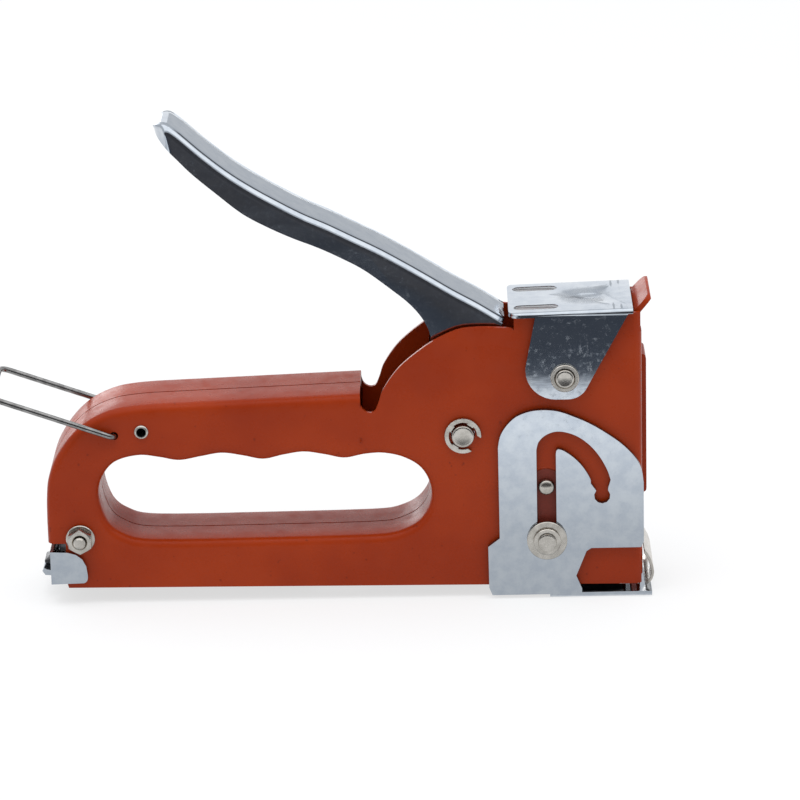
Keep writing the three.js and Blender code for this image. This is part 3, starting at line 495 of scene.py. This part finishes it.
def tubeAlong(name, node, path, radius, reference, sides=12):
    # a circle carried along a path: its two axes are square to the path and to the reference direction
    path = np.asarray(path, float)
    ahead = np.gradient(path, axis=0)
    ahead /= np.linalg.norm(ahead, axis=1, keepdims=True)
    across = np.cross(ahead, np.asarray(reference, float))
    across /= np.linalg.norm(across, axis=1, keepdims=True)
    other = np.cross(ahead, across)
    angle = np.arange(sides) / sides * 2 * np.pi
    ring = np.cos(angle)[None, :, None] * across[:, None, :] + np.sin(angle)[None, :, None] * other[:, None, :]
    grid = path[:, None, :] + radius * ring
    # each end is rounded by two shrinking rings
    start = path[0] - ahead[0] * radius * 0.35 + ring[0] * radius * 0.7
    end = path[-1] + ahead[-1] * radius * 0.35 + ring[-1] * radius * 0.7
    grid = np.concatenate([start[None], grid, end[None]])
    count = len(grid)
    faces = quadsOf(count, sides, False, True).tolist()
    faces += [list(range(sides)), list(range((count - 1) * sides, count * sides))]
    return settle(name, meshOf(name, grid, faces), node, sharp=60)


shellSet = {
    "half": 11.0,
    "sheet": 1.0,
    "bend": 2.0,
    "seam": 0.25,
    "frontSlotHalf": 5.0,
    "step": 0.8,
    # x, z and radius of the holes for the bail, rivet, bracket pin, guide pin, rear bolt, lever pin and stud
    "bores": [(-51.5, 44.4, 1.05), (-44.7, 45.3, 1.55), (60.2, 58, 2.55), (55.4, 15.6, 2.0), (-61, 17.6, 1.7),
              (34.9, 43, 3.0), (55.4, 29.2, 1.5)],
    "hubs": (-38.0, 13.5, 27.5),  # ends and height of the line that the side face is spread round
    "handleTop": [(9.7, 53.7), (-42, 52)],
    "handleBack": [(-42, 52), (-47, 51.6), (-52, 50.7), (-57.3, 48.4), (-62, 44.6), (-66.2, 38.8), (-68.4, 33.2),
                   (-69.1, 28), (-69.3, 22)],
    "rear": [(-69.3, 22), (-69.3, 16.2)],
    "hump": [(47.9, 69.8), (47, 70.3), (43.5, 70.6), (39.1, 70.7), (34.7, 70.3), (30.5, 68.7), (25.8, 66),
             (19.6, 60.9), (15.6, 55.4), (14.3, 51.9), (13.5, 49.9)],
    "hole": [(-30, 16.3), (-44.6, 16.6), (-50.3, 18.2), (-54, 21.4), (-56, 28), (-55.1, 33), (-51.7, 37.1), (-45.8, 38.7),
             (-40.6, 38.1), (-35.7, 37.2), (-30.3, 38.1), (-25, 38.9), (-19.8, 38.1), (-14.8, 37.1), (-9.8, 38.1),
             (-4.7, 38.8), (0.5, 38), (5.4, 37), (10.4, 37.9), (15, 38.1), (20, 36.9), (24.3, 34.1), (26.6, 29.4),
             (26.3, 24.4), (23.4, 20), (18.5, 17.5), (12.6, 16.7),
             (-4, 16.45)],
}


def hubMeasure(points):
    # how far round the hub line a point lies: straight above and below it, by angle beyond its ends
    left, right, height = shellSet["hubs"]
    span, turn = right - left, 20.0
    x, z = points[:, 0], points[:, 1]
    above = right - x
    leftAngle = np.mod(np.arctan2(z - height, x - left) - np.pi / 2, 2 * np.pi)
    below = span + turn * np.pi + (x - left)
    rightAngle = np.mod(np.arctan2(z - height, x - right) + np.pi / 2, 2 * np.pi)
    measure = np.where(z > height, above, below)
    measure = np.where(x < left, span + turn * leftAngle, measure)
    measure = np.where(x > right, 2 * span + turn * (np.pi + rightAngle), measure)
    return measure, 2 * span + 2 * turn * np.pi


def shellGrid():
    bend, half, step = shellSet["bend"], shellSet["half"], shellSet["step"]
    full = half - bend - shellSet["seam"]
    toSlot = half - bend - shellSet["frontSlotHalf"]
    zones = []  # face boundary, outward normal, flange width past the bend (or -1 for a cut edge)

    def cutEdge(points):
        run = evenly(points, step)
        zones.append((run, np.zeros_like(run), np.full(len(run), -1.0)))

    def turnedEdge(outline, depth, straightEnd=False):
        inward = leftOf(outline)
        run = outline + inward * bend
        if straightEnd:
            run[0, 0] = outline[0, 0]
        zones.append((run, -inward, np.full(len(run), depth)))

    notch = bendRun((13.5, 49.9), (13, 49.1), (12.1, 49.1)), bendRun((12.1, 49.1), (10.2, 49.2), (9.7, 51.6))[1:]
    cutEdge(np.vstack(notch))
    top = np.vstack([evenly(shellSet["handleTop"], step)[:-1], evenly(smoothRun(shellSet["handleBack"]), step)[:-1],
                     evenly(shellSet["rear"], step)])
    turnedEdge(top, full, True)
    cutEdge([(-67.3, 16.2), (-64.8, 16.2)])
    cutEdge([(-64.8, 16.2), (-64.8, 5.4), (-64.5, 4.4)])
    cutEdge([(-64.5, 4.4), (77.3, 2.82)])
    turnedEdge(evenly([(79.3, 5), (79.3, 68.5)], step), toSlot)
    cutEdge([(77.3, 68.5), (77.3, 69.8)])
    cutEdge([(77.3, 69.8), (47.9, 69.8)])
    hump = evenly(smoothRun(shellSet["hump"]), step)
    zones.append((hump[:-1], np.zeros_like(hump[:-1]), np.full(len(hump) - 1, -1.0)))
    rim = np.vstack([zone[0] for zone in zones])
    normal = np.vstack([zone[1] for zone in zones])
    depth = np.concatenate([zone[2] for zone in zones])

    # the finger opening's own rim, matched to the outer one by how far round the hub line each lies
    loop = smoothRun(shellSet["hole"], 10)
    loop = evenly(np.vstack([loop, loop[:1]]), 0.5)[:-1]
    away = leftOf(loop, True)
    away *= np.sign(((loop - loop.mean(0)) * away).sum(1).mean())
    inner = loop + away * bend
    measure, whole = hubMeasure(rim)
    measure = np.maximum.accumulate(np.where(np.arange(len(rim)) < 3, 0, measure))
    holeMeasure, _ = hubMeasure(inner)
    order = np.argsort(holeMeasure)
    packed = np.column_stack([inner, away])[order]
    matched = np.stack([np.interp(measure, holeMeasure[order], packed[:, k], period=whole) for k in range(4)], -1)
    holeRim, holeAway = matched[:, :2], matched[:, 2:]
    holeAway /= np.linalg.norm(holeAway, axis=1, keepdims=True)

    arc = np.radians([0, 18, 36, 54, 72, 90])
    rows, lift = [], []
    straight = [1.0, 0.5]
    for share in straight:  # outer flange, from its free edge to the bend
        rows.append(rim + normal * bend)
        lift.append(bend + np.maximum(depth, 0) * share)
    for angle in arc[:0:-1]:
        rows.append(rim + normal * bend * np.sin(angle))
        lift.append(np.full(len(rim), bend * (1 - np.cos(angle))))
    faceRows = 7
    for share in np.linspace(0, 1, faceRows):
        rows.append(rim * (1 - share) + holeRim * share)
        lift.append(np.zeros(len(rim)))
    for angle in arc[1:]:
        rows.append(holeRim - holeAway * bend * np.sin(angle))
        lift.append(np.full(len(rim), bend * (1 - np.cos(angle))))
    for share in straight[::-1]:
        rows.append(holeRim - holeAway * bend)
        lift.append(np.full(len(rim), bend + full * share))
    flat, lift = np.stack(rows), np.stack(lift)
    grid = np.stack([flat[..., 0], lift - half, flat[..., 1]], -1)
    outerRows = len(straight) + len(arc) - 1
    keep = np.ones((grid.shape[0] - 1, grid.shape[1]), bool)
    cut = depth < 0
    keep[:outerRows] = ~(cut | np.roll(cut, -1) | (np.abs(depth - np.roll(depth, -1)) > 0.01))
    faces = quadsOf(grid.shape[0], grid.shape[1], False, True)[keep.ravel()]
    return grid.reshape(-1, 3), faces


def shelfGrid():
    # the flat above the pivot's hump, its front edge turned over the first part of the bend
    half, bend = shellSet["half"], shellSet["bend"]
    x = evenly([(77.3, 69.8), (47.9, 69.8)], shellSet["step"])[:, 0]
    share = np.linspace(0, 1, 4)[:, None]
    topZ = 73 + (x - 47.9) / 31.4 * 0.8
    z = 69.8 * (1 - share) + topZ * share
    grid = np.stack([x + 0 * z, np.full_like(z, -half), z], -1)
    faces = quadsOf(4, len(x))
    return grid.reshape(-1, 3), faces


def shellLip(z0, z1, angles):
    # a strip of the front edge's bend from z0 to z1
    half, bend = shellSet["half"], shellSet["bend"]
    angle = np.radians(angles)[:, None]
    z = np.linspace(z0, z1, max(2, int((z1 - z0) / 1.2) + 1))
    x, y = 77.3 + bend * np.sin(angle), -half + bend * (1 - np.cos(angle))
    grid = np.stack([x + 0 * z, y + 0 * z, z + 0 * angle], -1)
    return grid.reshape(-1, 3), quadsOf(len(angles), len(z))


def punched(mesh, cutters, sheet):
    # the mesh, given its sheet's thickness, with each cutter's volume taken out
    body = bpy.data.objects.new("punchBody", mesh)
    tool = bpy.data.objects.new("punchTool", cutters)
    for item in (body, tool):
        bpy.context.scene.collection.objects.link(item)
    if sheet:
        wall = body.modifiers.new("wall", "SOLIDIFY")
        wall.thickness, wall.offset, wall.use_even_offset = sheet * mm, -1, True
    cut = body.modifiers.new("cut", "BOOLEAN")
    cut.operation, cut.object, cut.solver = "DIFFERENCE", tool, "EXACT"
    bpy.context.view_layer.update()
    result = bpy.data.meshes.new_from_object(body.evaluated_get(bpy.context.evaluated_depsgraph_get()))
    for item in (body, tool):
        bpy.data.objects.remove(item)
    return result


def rodThrough(outline, y0, y1):
    # a closed outline in x and z carried across from y0 to y1
    outline = np.asarray(outline, float)
    count = len(outline)
    grid = np.stack([np.column_stack([outline[:, 0], np.full(count, y), outline[:, 1]]) for y in (y0, y1)])
    faces = quadsOf(2, count, False, True).tolist() + [list(range(count)), list(range(count, 2 * count))]
    return grid.reshape(-1, 3), faces


def circle(x, z, radius, count=28):
    angle = np.arange(count) / count * 2 * np.pi
    return np.column_stack([x + radius * np.cos(angle), z + radius * np.sin(angle)])


def joined(parts):
    # several point and face lists as one, each part's faces counted on past the points before it
    points, faces, start = [], [], 0
    for grid, quads in parts:
        points.append(grid)
        faces += [(np.asarray(face) + start).tolist() for face in quads]
        start += len(grid)
    return np.vstack(points), faces


def makeShells():
    shellPaint = orangePaint("shellPaint", True)
    parts = [shellGrid(), shelfGrid(), shellLip(68.5, 73.8, [0, 20, 40, 58]), shellLip(2.82, 5, [0, 20, 40, 58])]
    points, faces = joined(parts)
    holes = [circle(*bore) for bore in shellSet["bores"]]
    for name, node, side in (("nearShell", "right_shell", -1), ("farShell", "left_shell", 1)):
        sided = points * (1, -side, 1)
        sheet = meshOf(name, sided, faces)
        if facing(sheet, 1) * side < 0:
            sheet.flip_normals()
        cutParts = [rodThrough(outline, side * 8.5, side * 12.5) for outline in holes]
        toolPoints, toolFaces = joined(cutParts)
        whole = punched(sheet, meshOf("cutters", toolPoints, toolFaces), shellSet["sheet"])
        whole.name = name
        settle(name, whole, node, sharp=32, bevel=0.14).data.materials[0] = shellPaint
    print("shells made")


leverSet = {
    "half": 8.75,
    "sheet": 1.2,
    "roll": 1.8,
    "groove": 0.28,
    "tipRound": 6.0,
    "top": [(-39.6, 121.4), (-36.6, 122.7), (-33.6, 121.1), (-27.3, 115.4), (-21.2, 110.4), (-15.2, 106.3), (-9, 102.6),
            (-3.2, 99.4), (2.8, 96.6), (9, 93.4), (15.2, 90.2), (21.2, 86.7), (27.2, 83), (33.2, 79.2), (39.4, 75.6),
            (45.6, 71.6)],
    "low": [(-38.9, 119.9), (-33.7, 114.5), (-29.8, 110.4), (-23.9, 105.2), (-17.9, 100.2), (-11.9, 96.7), (-5.9, 93.8),
            (0.1, 91.3), (6, 88.4), (12, 84.9), (20.2, 78.4)],
    "pivot": (34.9, 43.0),
    "eye": 9.0,
}


def leverLow():
    x, z = leverSet["pivot"]
    eye = np.linspace(np.pi, 2 * np.pi, 26)
    return [
        (0.0, 0.62, evenly(smoothRun(leverSet["low"]), 0.8)),
        (0.62, 0.70, bendRun((20.2, 78.4), (26.2, 73.4), (27.5, 67.8), 12)),
        (0.70, 0.78, bendRun((27.5, 67.8), (26, 55), (25.9, 43), 16)),
        (0.78, 0.88, np.column_stack([x + leverSet["eye"] * np.cos(eye), z + leverSet["eye"] * np.sin(eye)])),
        (0.88, 1.0, bendRun((43.9, 43), (43.9, 54), (44.8, 62), 14)),
    ]


def makeLever():
    marks = np.linspace(0, 1, 300)
    top = evenly(smoothRun(leverSet["top"], 12), 0.35)
    along = np.linspace(0, 1, len(top))
    # the lower edge is matched to the top by shares of the lever's length
    lowShare = np.concatenate([np.linspace(a, b, len(run)) for a, b, run in leverLow()])
    lowPoint = np.vstack([run for _, _, run in leverLow()])
    top = np.stack([np.interp(marks, along, top[:, k]) for k in (0, 1)], -1)
    low = np.stack([np.interp(marks, lowShare, lowPoint[:, k]) for k in (0, 1)], -1)
    out = leftOf(top)
    length = np.concatenate([[0], np.cumsum(np.linalg.norm(np.diff(top, axis=0), axis=1))])
    short = np.clip(1 - length / leverSet["tipRound"], 0, 1)
    half = 0.9 + (leverSet["half"] - 0.9) * np.sqrt(1 - short ** 2)
    gap = np.linalg.norm(top - low, axis=1)
    roll = np.minimum(np.minimum(leverSet["roll"], 0.45 * gap), 0.75 * half)
    columns = []  # (x and z, y) down one side: crown line, groove, roll, flange

    def column(flat, y):
        columns.append(np.stack([flat[:, 0], y, flat[:, 1]], -1))

    middle = half - roll
    depth = (leverSet["groove"] * (1 - short))[:, None]
    for share in (0.0, 0.35, 0.7):
        column(top, -middle * share)
    for inset, part in ((0.12, 0.0), (0.06, 0.7), (0.03, 1.0), (0.0, 0.6)):
        column(top - out * depth * part, -middle * (1 - inset))
    for angle in np.radians([10, 24, 40, 56, 72, 90]):
        column(top - out * roll[:, None] * (1 - np.cos(angle)), -(half - roll * (1 - np.sin(angle))))
    start = top - out * roll[:, None]
    for share in (0.12, 0.3, 0.5, 0.7, 0.88, 1.0):
        column(start * (1 - share) + low * share, -half)
    near = np.stack(columns)
    far = near[:0:-1] * (1, -1, 1)
    grid = np.concatenate([far, near])
    bar = marks <= 0.62  # the flange is a grid up to here and a flat outline over the pivot
    keep = np.ones((len(grid) - 1, len(marks) - 1), bool)
    keep[:6, ~bar[1:]] = keep[-6:, ~bar[1:]] = False
    faces = quadsOf(len(grid), len(marks))[keep.ravel()].tolist()
    index = np.arange(grid.size // 3).reshape(len(grid), -1)
    last = int(bar.sum()) - 1
    faces.append(index[:, 0].tolist())
    for rows in (index[-7:], index[6::-1]):
        there, back = (rows[0, last:], rows[1:, -1]), (rows[-1, last:-1][::-1], rows[1:-1, last][::-1])
        faces.append(np.concatenate([*there, *back]).tolist())
    mesh = meshOf("leverChannel", grid, faces)
    if facing(mesh, 2) < 0:
        mesh.flip_normals()
    settle("leverChannel", mesh, "lever_channel", sharp=40, bevel=0.15, thickness=leverSet["sheet"])
    mesh.materials[0] = leverZinc()
    print("lever made")


def coilPath(start, direction, side, radius, length, turns, wire, perTurn=40):
    # a helix: the first and last turns rise just over one wire, and the turns between share the rest of the length
    direction, side = np.asarray(direction, float), np.asarray(side, float)
    third = np.cross(direction, side)
    turn = np.linspace(0, turns, int(turns * perTurn) + 1)
    endPitch = wire * 1.08
    openPitch = (length - wire - 2 * endPitch) / (turns - 2)
    height = wire / 2 + np.minimum(turn, 1) * endPitch + np.clip(turn - 1, 0, turns - 2) * openPitch
    height = height + np.clip(turn - turns + 1, 0, None) * endPitch
    angle = turn * 2 * np.pi
    return (np.asarray(start, float) + height[:, None] * direction
            + radius * np.cos(angle)[:, None] * side + radius * np.sin(angle)[:, None] * third)


mainSpringSet = {"x": 69.0, "seat": 40.2, "top": 73.5, "radius": 5.15, "wire": 1.7, "turns": 7}
pusherSpringSet = {"rear": -67.2, "front": -2.5, "z": 7.4, "radius": 2.0, "wire": 0.6, "turns": 30}
leverSpringSet = {"x": 34.9, "z": 43.0, "near": 3.3, "room": 3.95, "radius": 4.0, "turns": 2.9}


def makeSprings():
    s = mainSpringSet
    length = s["top"] - s["seat"]
    path = coilPath((s["x"], 0, s["seat"]), (0, 0, 1), (-1, 0, 0), s["radius"], length, s["turns"], s["wire"])
    spring = tubeAlong("mainSpring", "main_spring", path, s["wire"] / 2 * 0.98, (0, 0, 1))
    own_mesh(spring)
    s = pusherSpringSet
    length = s["front"] - s["rear"]
    path = coilPath((s["rear"], 0, s["z"]), (1, 0, 0), (0, 0, 1), s["radius"], length, s["turns"], s["wire"], 20)
    spring = tubeAlong("pusherSpring", "pusher_spring", path, s["wire"] / 2, (1, 0, 0), 8)
    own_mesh(spring)
    s = leverSpringSet
    wire = s["room"] / 4.16
    path = coilPath((s["x"], s["near"], s["z"]), (0, 1, 0), (0, 0, 1), s["radius"], s["room"], s["turns"], wire)
    tubeAlong("leverSpring", "lever_spring", path, wire * 0.485, (0, 1, 0))
    print("springs made")


bailSet = {
    "pivot": (-51.5, 44.4),
    "length": 31.9,
    "half": 12.4,
    "wire": 0.75,  # its radius
    "degrees": 160,  # how it stands at rest, counted up from straight ahead
    "corner": 3.0,
    "foot": 1.6,
}


def makeBail():
    angle = np.radians(bailSet["degrees"])
    ahead = np.array([np.cos(angle), 0, np.sin(angle)])
    x, z = bailSet["pivot"]
    length, half, corner, foot = bailSet["length"], bailSet["half"], bailSet["corner"], bailSet["foot"]
    flat = np.vstack([
        evenly([(0, -9), (0, foot - half)], 0.6)[:-1],
        bendRun((0, foot - half), (0, -half), (foot, -half), 9)[:-1],
        evenly([(foot, -half), (length - corner, -half)], 1.0)[:-1],
        bendRun((length - corner, -half), (length, -half), (length, corner - half), 11)[:-1],
        evenly([(length, corner - half), (length, 0)], 1.0)[:-1],
    ])
    flat = np.vstack([flat, [(length, 0)], (flat * (1, -1))[::-1]])
    path = np.array([x, 0, z]) + flat[:, :1] * ahead + flat[:, 1:] * np.array([0, 1, 0])
    tubeAlong("lockBail", "lock_bail", path, bailSet["wire"], np.cross(ahead, (0, 1, 0)), 14)
    print("bail made")


def mirrored(half, side=1):
    # a turned outline's one half, then its mirror image back from the middle
    half = np.asarray(half, float) * (1, side)
    return np.vstack([half, half[::-1] * (1, -1)])


def pinProfile(radius, half):
    # a plain pin with rounded rims and faintly dished ends
    rim = np.radians([0, 30, 60, 90])
    end = [(0, -half + 0.12), (radius * 0.55, -half + 0.1), (radius - 0.62, -half)]
    rimPoints = np.column_stack([radius - 0.45 + 0.45 * np.sin(rim), -half + 0.45 * (1 - np.cos(rim))])
    return mirrored(np.vstack([end, rimPoints]))


def ringProfile(inner, outer, low, high, side=1, edge=0.16):
    # a flat ring's section with its four edges cut at 45 degrees
    lower = [(inner, low + edge), (inner + edge, low), (outer - edge, low), (outer, low + edge)]
    upper = [(outer, high - edge), (outer - edge, high), (inner + edge, high), (inner, high - edge)]
    return np.array(lower + upper) * (1, side)


def makeNut(name, node, x, z, corner, bore, low, high):
    # a hexagon, its radius the flat's distance over the cosine of the angle from the nearest flat's middle;
    # its corners are turned off towards the outer face
    angle = np.arange(96) / 96 * 2 * np.pi
    apothem = corner * np.cos(np.pi / 6)
    hexagon = apothem / np.cos(np.mod(angle + np.pi / 6, np.pi / 3) - np.pi / 6)
    face = apothem - 0.12
    drop = (hexagon - face) * 0.6
    one = np.ones_like(angle)
    rows = [(bore * one, (low + 0.25) * one), ((bore + 0.25) * one, low * one), (face * one, low * one),
            (hexagon, low + drop), (hexagon, (high - 0.15) * one), (hexagon - 0.15, high * one),
            ((bore + 0.2) * one, high * one)]
    grid = np.stack([np.stack([x + r * np.cos(angle), y, z + r * np.sin(angle)], -1) for r, y in rows])
    settle(name, meshOf(name, grid, quadsOf(len(rows), 96, True, True).tolist()), node, sharp=28)


fastenerSet = {
    # cross pins: where they run, their radius and half length
    "leverPin": {"node": "lever_pin", "at": (34.9, 43), "radius": 2.8, "half": 13},
    "bracketPin": {"node": "bracket_pin", "at": (60.2, 58), "radius": 2.35, "half": 14.6},
    # rings on both sides: inner and outer radius, and how far out their two faces lie
    "bracketClip": {"node": "bracket_clip", "at": (60.2, 58), "ring": (2.5, 3.5, 13.3, 14.0)},
    "guideWasher": {"node": "guide_washer", "at": (55.4, 15.6), "ring": (1.95, 5.0, 13.1, 13.9)},
    "guideClip": {"node": "guide_clip", "at": (55.4, 15.6), "ring": (1.95, 3.4, 14.1, 14.8)},
    "rearWasher": {"node": "rear_washer", "at": (-61, 17.6), "ring": (1.65, 3.6, 11.2, 11.9)},
    # turned outlines, each a list of (radius, distance across)
    "guidePin": {
        "at": (55.4, 15.6),
        "head": [(0, -15.45), (1.1, -15.5), (1.95, -15.6), (2.2, -15.5), (2.3, -15.3), (2.3, -14.9), (1.8, -14.9)],
    },
    "guideStud": {
        "at": (55.4, 29.2),
        "dome": [(0, 9), (1.3, 9), (1.3, 11.2), (2, 11.2), (2, 12.2), (1.85, 12.6), (1.45, 12.9), (0.8, 13.1), (0, 13.2)],
    },
    "rearBolt": {
        "at": (-61, 17.6),
        "outline": [(0, -15.4), (1.15, -15.4), (1.5, -15.05), (1.5, 12.0), (3, 12.0), (3, 12.9), (2.8, 13.4), (2.2, 13.9),
                    (1.2, 14.15), (0, 14.2)],
    },
    "handleRivet": {
        "at": (-44.7, 45.3),
        "flare": [(1.1, 11.55), (1.3, 11.62), (1.6, 11.5), (1.75, 11.3), (1.75, 11.1), (1.4, 11.1)],
    },
    "rearNut": {"at": (-61, 17.6), "corner": 3.25, "bore": 1.68, "low": -14.4, "high": -12.0},
    "rearSpacer": {"node": "rear_spacer", "at": (-61, 17.6), "ring": (1.75, 3.1, -9.7, 9.7)},
    "leverBush": {"node": "lever_bush", "at": (34.9, 43), "ring": (3.1, 4.6, -7.25, -3.3)},
}


def makeFasteners():
    for name in ("leverPin", "bracketPin"):
        s = fastenerSet[name]
        turnedPiece(name, s["node"], *s["at"], pinProfile(s["radius"], s["half"]), 56)
    s = fastenerSet["guidePin"]
    turnedPiece("guidePin", "guide_pin", *s["at"], mirrored(s["head"]), 56)
    for side, tag in ((-1, "right"), (1, "left")):
        for name in ("bracketClip", "guideWasher", "guideClip", "rearWasher"):
            s = fastenerSet[name]
            ring = ringProfile(*s["ring"], side)
            turnedPiece(name + tag.capitalize(), f"{s['node']}_{tag}", *s["at"], ring, 64, True)
        s = fastenerSet["guideStud"]
        turnedPiece("guideStud" + tag.capitalize(), "guide_stud_" + tag, *s["at"], np.array(s["dome"]) * (1, side), 40)
    s = fastenerSet["rearNut"]
    makeNut("rearNut", "rear_nut", *s["at"], s["corner"], s["bore"], s["low"], s["high"])
    s = fastenerSet["rearBolt"]
    turnedPiece("rearBolt", "rear_bolt", *s["at"], s["outline"], 48)
    s = fastenerSet["handleRivet"]
    rivet = turnedPiece("handleRivet", "handle_rivet", *s["at"], mirrored(s["flare"], -1), 40, True)
    rivet.data.materials[0] = rivetNickel()
    for name in ("rearSpacer", "leverBush"):
        s = fastenerSet[name]
        turnedPiece(name, s["node"], *s["at"], ringProfile(*s["ring"]), 40, True)
    print("pins, washers and clips made")


dressedSet = {
    # the bracket's and guide's folds: the corner's two ends, the way its second face looks, and the fold's radius
    "spring_bracket": {"ends": [(45, 13, 74.458), (78, 13, 75.324)], "up": 1, "radius": 1.1, "bevel": 0.2},
    "nose_guide": {"ends": [(55, 12.8, 0), (82, 12.8, 0)], "up": -1, "radius": 1.0, "bevel": 0.2},
}


def dressNodes():
    # the folded sheets get their own finishes and rounded folds, and every node without a piece yet gets rounded edges
    for (node, s), finish in zip(dressedSet.items(), (bracketZinc(), guideZinc())):
        ends = np.array(s["ends"], float)
        tools = [cornerTool(ends * (1, side, 1), side, s["up"], s["radius"]) for side in (-1, 1)]
        dressed(node, bevel=s["bevel"], tools=tools, finish=finish)
    dressed("tail_cap", bevel=0.3)
    done = {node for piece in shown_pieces() for node in piece.get("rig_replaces", [])}
    others = sorted(set(frame["nodes"]) - done)
    for node in others:
        dressed(node)
    print("other nodes dressed:", len(others))


studioSet = {
    "worldColor": (0.93, 0.96, 1.0),
    "worldStrength": 0.70,
    # each light panel: its place and the point it faces in metres, its width and height, how much it adds in a mirror
    "topBox": ((0.1, 0.0, 1.15), (0.1, 0.001, 0), 2.4, 1.7, 0.75),
    "backBox": ((-0.4, 1.25, 0.36), (-0.4, 0, 0.36), 1.05, 0.62, 0.45),
    "rearBox": ((-0.5, 1.1, 0.2), (-0.03, 0, 0.05), 0.5, 0.35, 2.0),
    "fillBox": ((-0.1, -0.25, 1.0), (0, 0, 0.05), 0.6, 0.6, 3.0),
    # brightness of the reflector lying in front of the tool, by how far out it is in metres
    "reflector": [(0.012, 0.70), (0.06, 0.78), (0.102, 0.98), (0.148, 1.22), (0.176, 1.12), (0.19, 0.085), (0.21, 0.065),
                  (0.30, 0.05), (0.36, 0.065), (0.5, 0.085), (1.2, 0.06)],
    "tints": ((0.94, 0.97, 1.0), (1.04, 1.2, 1.5), (0.98, 0.97, 1.06)),  # up to 0.18, up to 0.33, and past it
}


def softBox(name):
    # an area light, which the camera itself does not see
    place, aim, width, height, glow = studioSet[name]
    light = bpy.data.lights.new(name, "AREA")
    light.shape, light.size, light.size_y, light.energy = "RECTANGLE", width, height, glow * np.pi * width * height
    lamp = bpy.data.objects.new(name, light)
    lamp.location = place
    lamp.rotation_mode = "QUATERNION"
    lamp.rotation_quaternion = (Vector(aim) - Vector(place)).to_track_quat("-Z", "Y")
    lamp.visible_camera = False
    bpy.context.scene.collection.objects.link(lamp)
    return lamp


def makeStage():
    floorMesh = bpy.data.meshes.new("floor")
    floorMesh.from_pydata([(-30, -30, 0), (30, -30, 0), (30, 30, 0), (-30, 30, 0)], [], [(0, 1, 2, 3)])
    floor = bpy.data.objects.new("floor", floorMesh)
    bench = Bench("paleFloor")
    tone = bench.blend(bench.noise(3, 2), (0.30, 0.30, 0.30), (0.29, 0.29, 0.293))
    glow = (0.66, 0.66, 0.66, 1)
    floorMesh.materials.append(bench.finish(color=tone, roughness=0.9, specular=0.0, glow=glow, glowStrength=1.0))
    card = bpy.data.meshes.new("reflector")
    card.from_pydata([(-1.5, -0.012, 0.0006), (1.5, -0.012, 0.0006), (1.5, -1.2, 0.0006), (-1.5, -1.2, 0.0006),
                      (1.5, -1.2, 0.8), (-1.5, -1.2, 0.8)], [], [(0, 1, 2, 3), (3, 2, 4, 5)])
    reflector = bpy.data.objects.new("reflector", card)
    bench = Bench("reflectorCloth")
    out = bench.split()[1] * -1
    levels = np.array(studioSet["reflector"])
    tint = np.array(studioSet["tints"])[np.digitize(levels[:, 0], (0.18, 0.33))]
    stops = list(zip(levels[:, 0] / 1.2, map(tuple, levels[:, 1:] * tint)))
    glow = bench.add("ShaderNodeValToRGB", {"stops": stops}, {0: out * (1 / 1.2)})
    card.materials.append(bench.finish(color=(0, 0, 0, 1), roughness=1.0, specular=0.0, glow=glow, glowStrength=1.0))
    for item in (floor, reflector):
        bpy.context.scene.collection.objects.link(item)
    reflector.visible_camera = reflector.visible_diffuse = reflector.visible_shadow = False

    world = bpy.data.worlds.new("studio")
    world.use_nodes = True
    world.node_tree.nodes["Background"].inputs[0].default_value = (*studioSet["worldColor"], 1)
    world.node_tree.nodes["Background"].inputs[1].default_value = studioSet["worldStrength"]
    bpy.context.scene.world = world

    for name in ("topBox", "backBox", "rearBox"):
        softBox(name)
    softBox("fillBox").visible_glossy = False
    bpy.context.scene.view_settings.view_transform = "Standard"
    print("stage set")


setUpCamera()
makeShells()
makeLever()
makeSprings()
makeBail()
makeFasteners()
dressNodes()
makeStage()
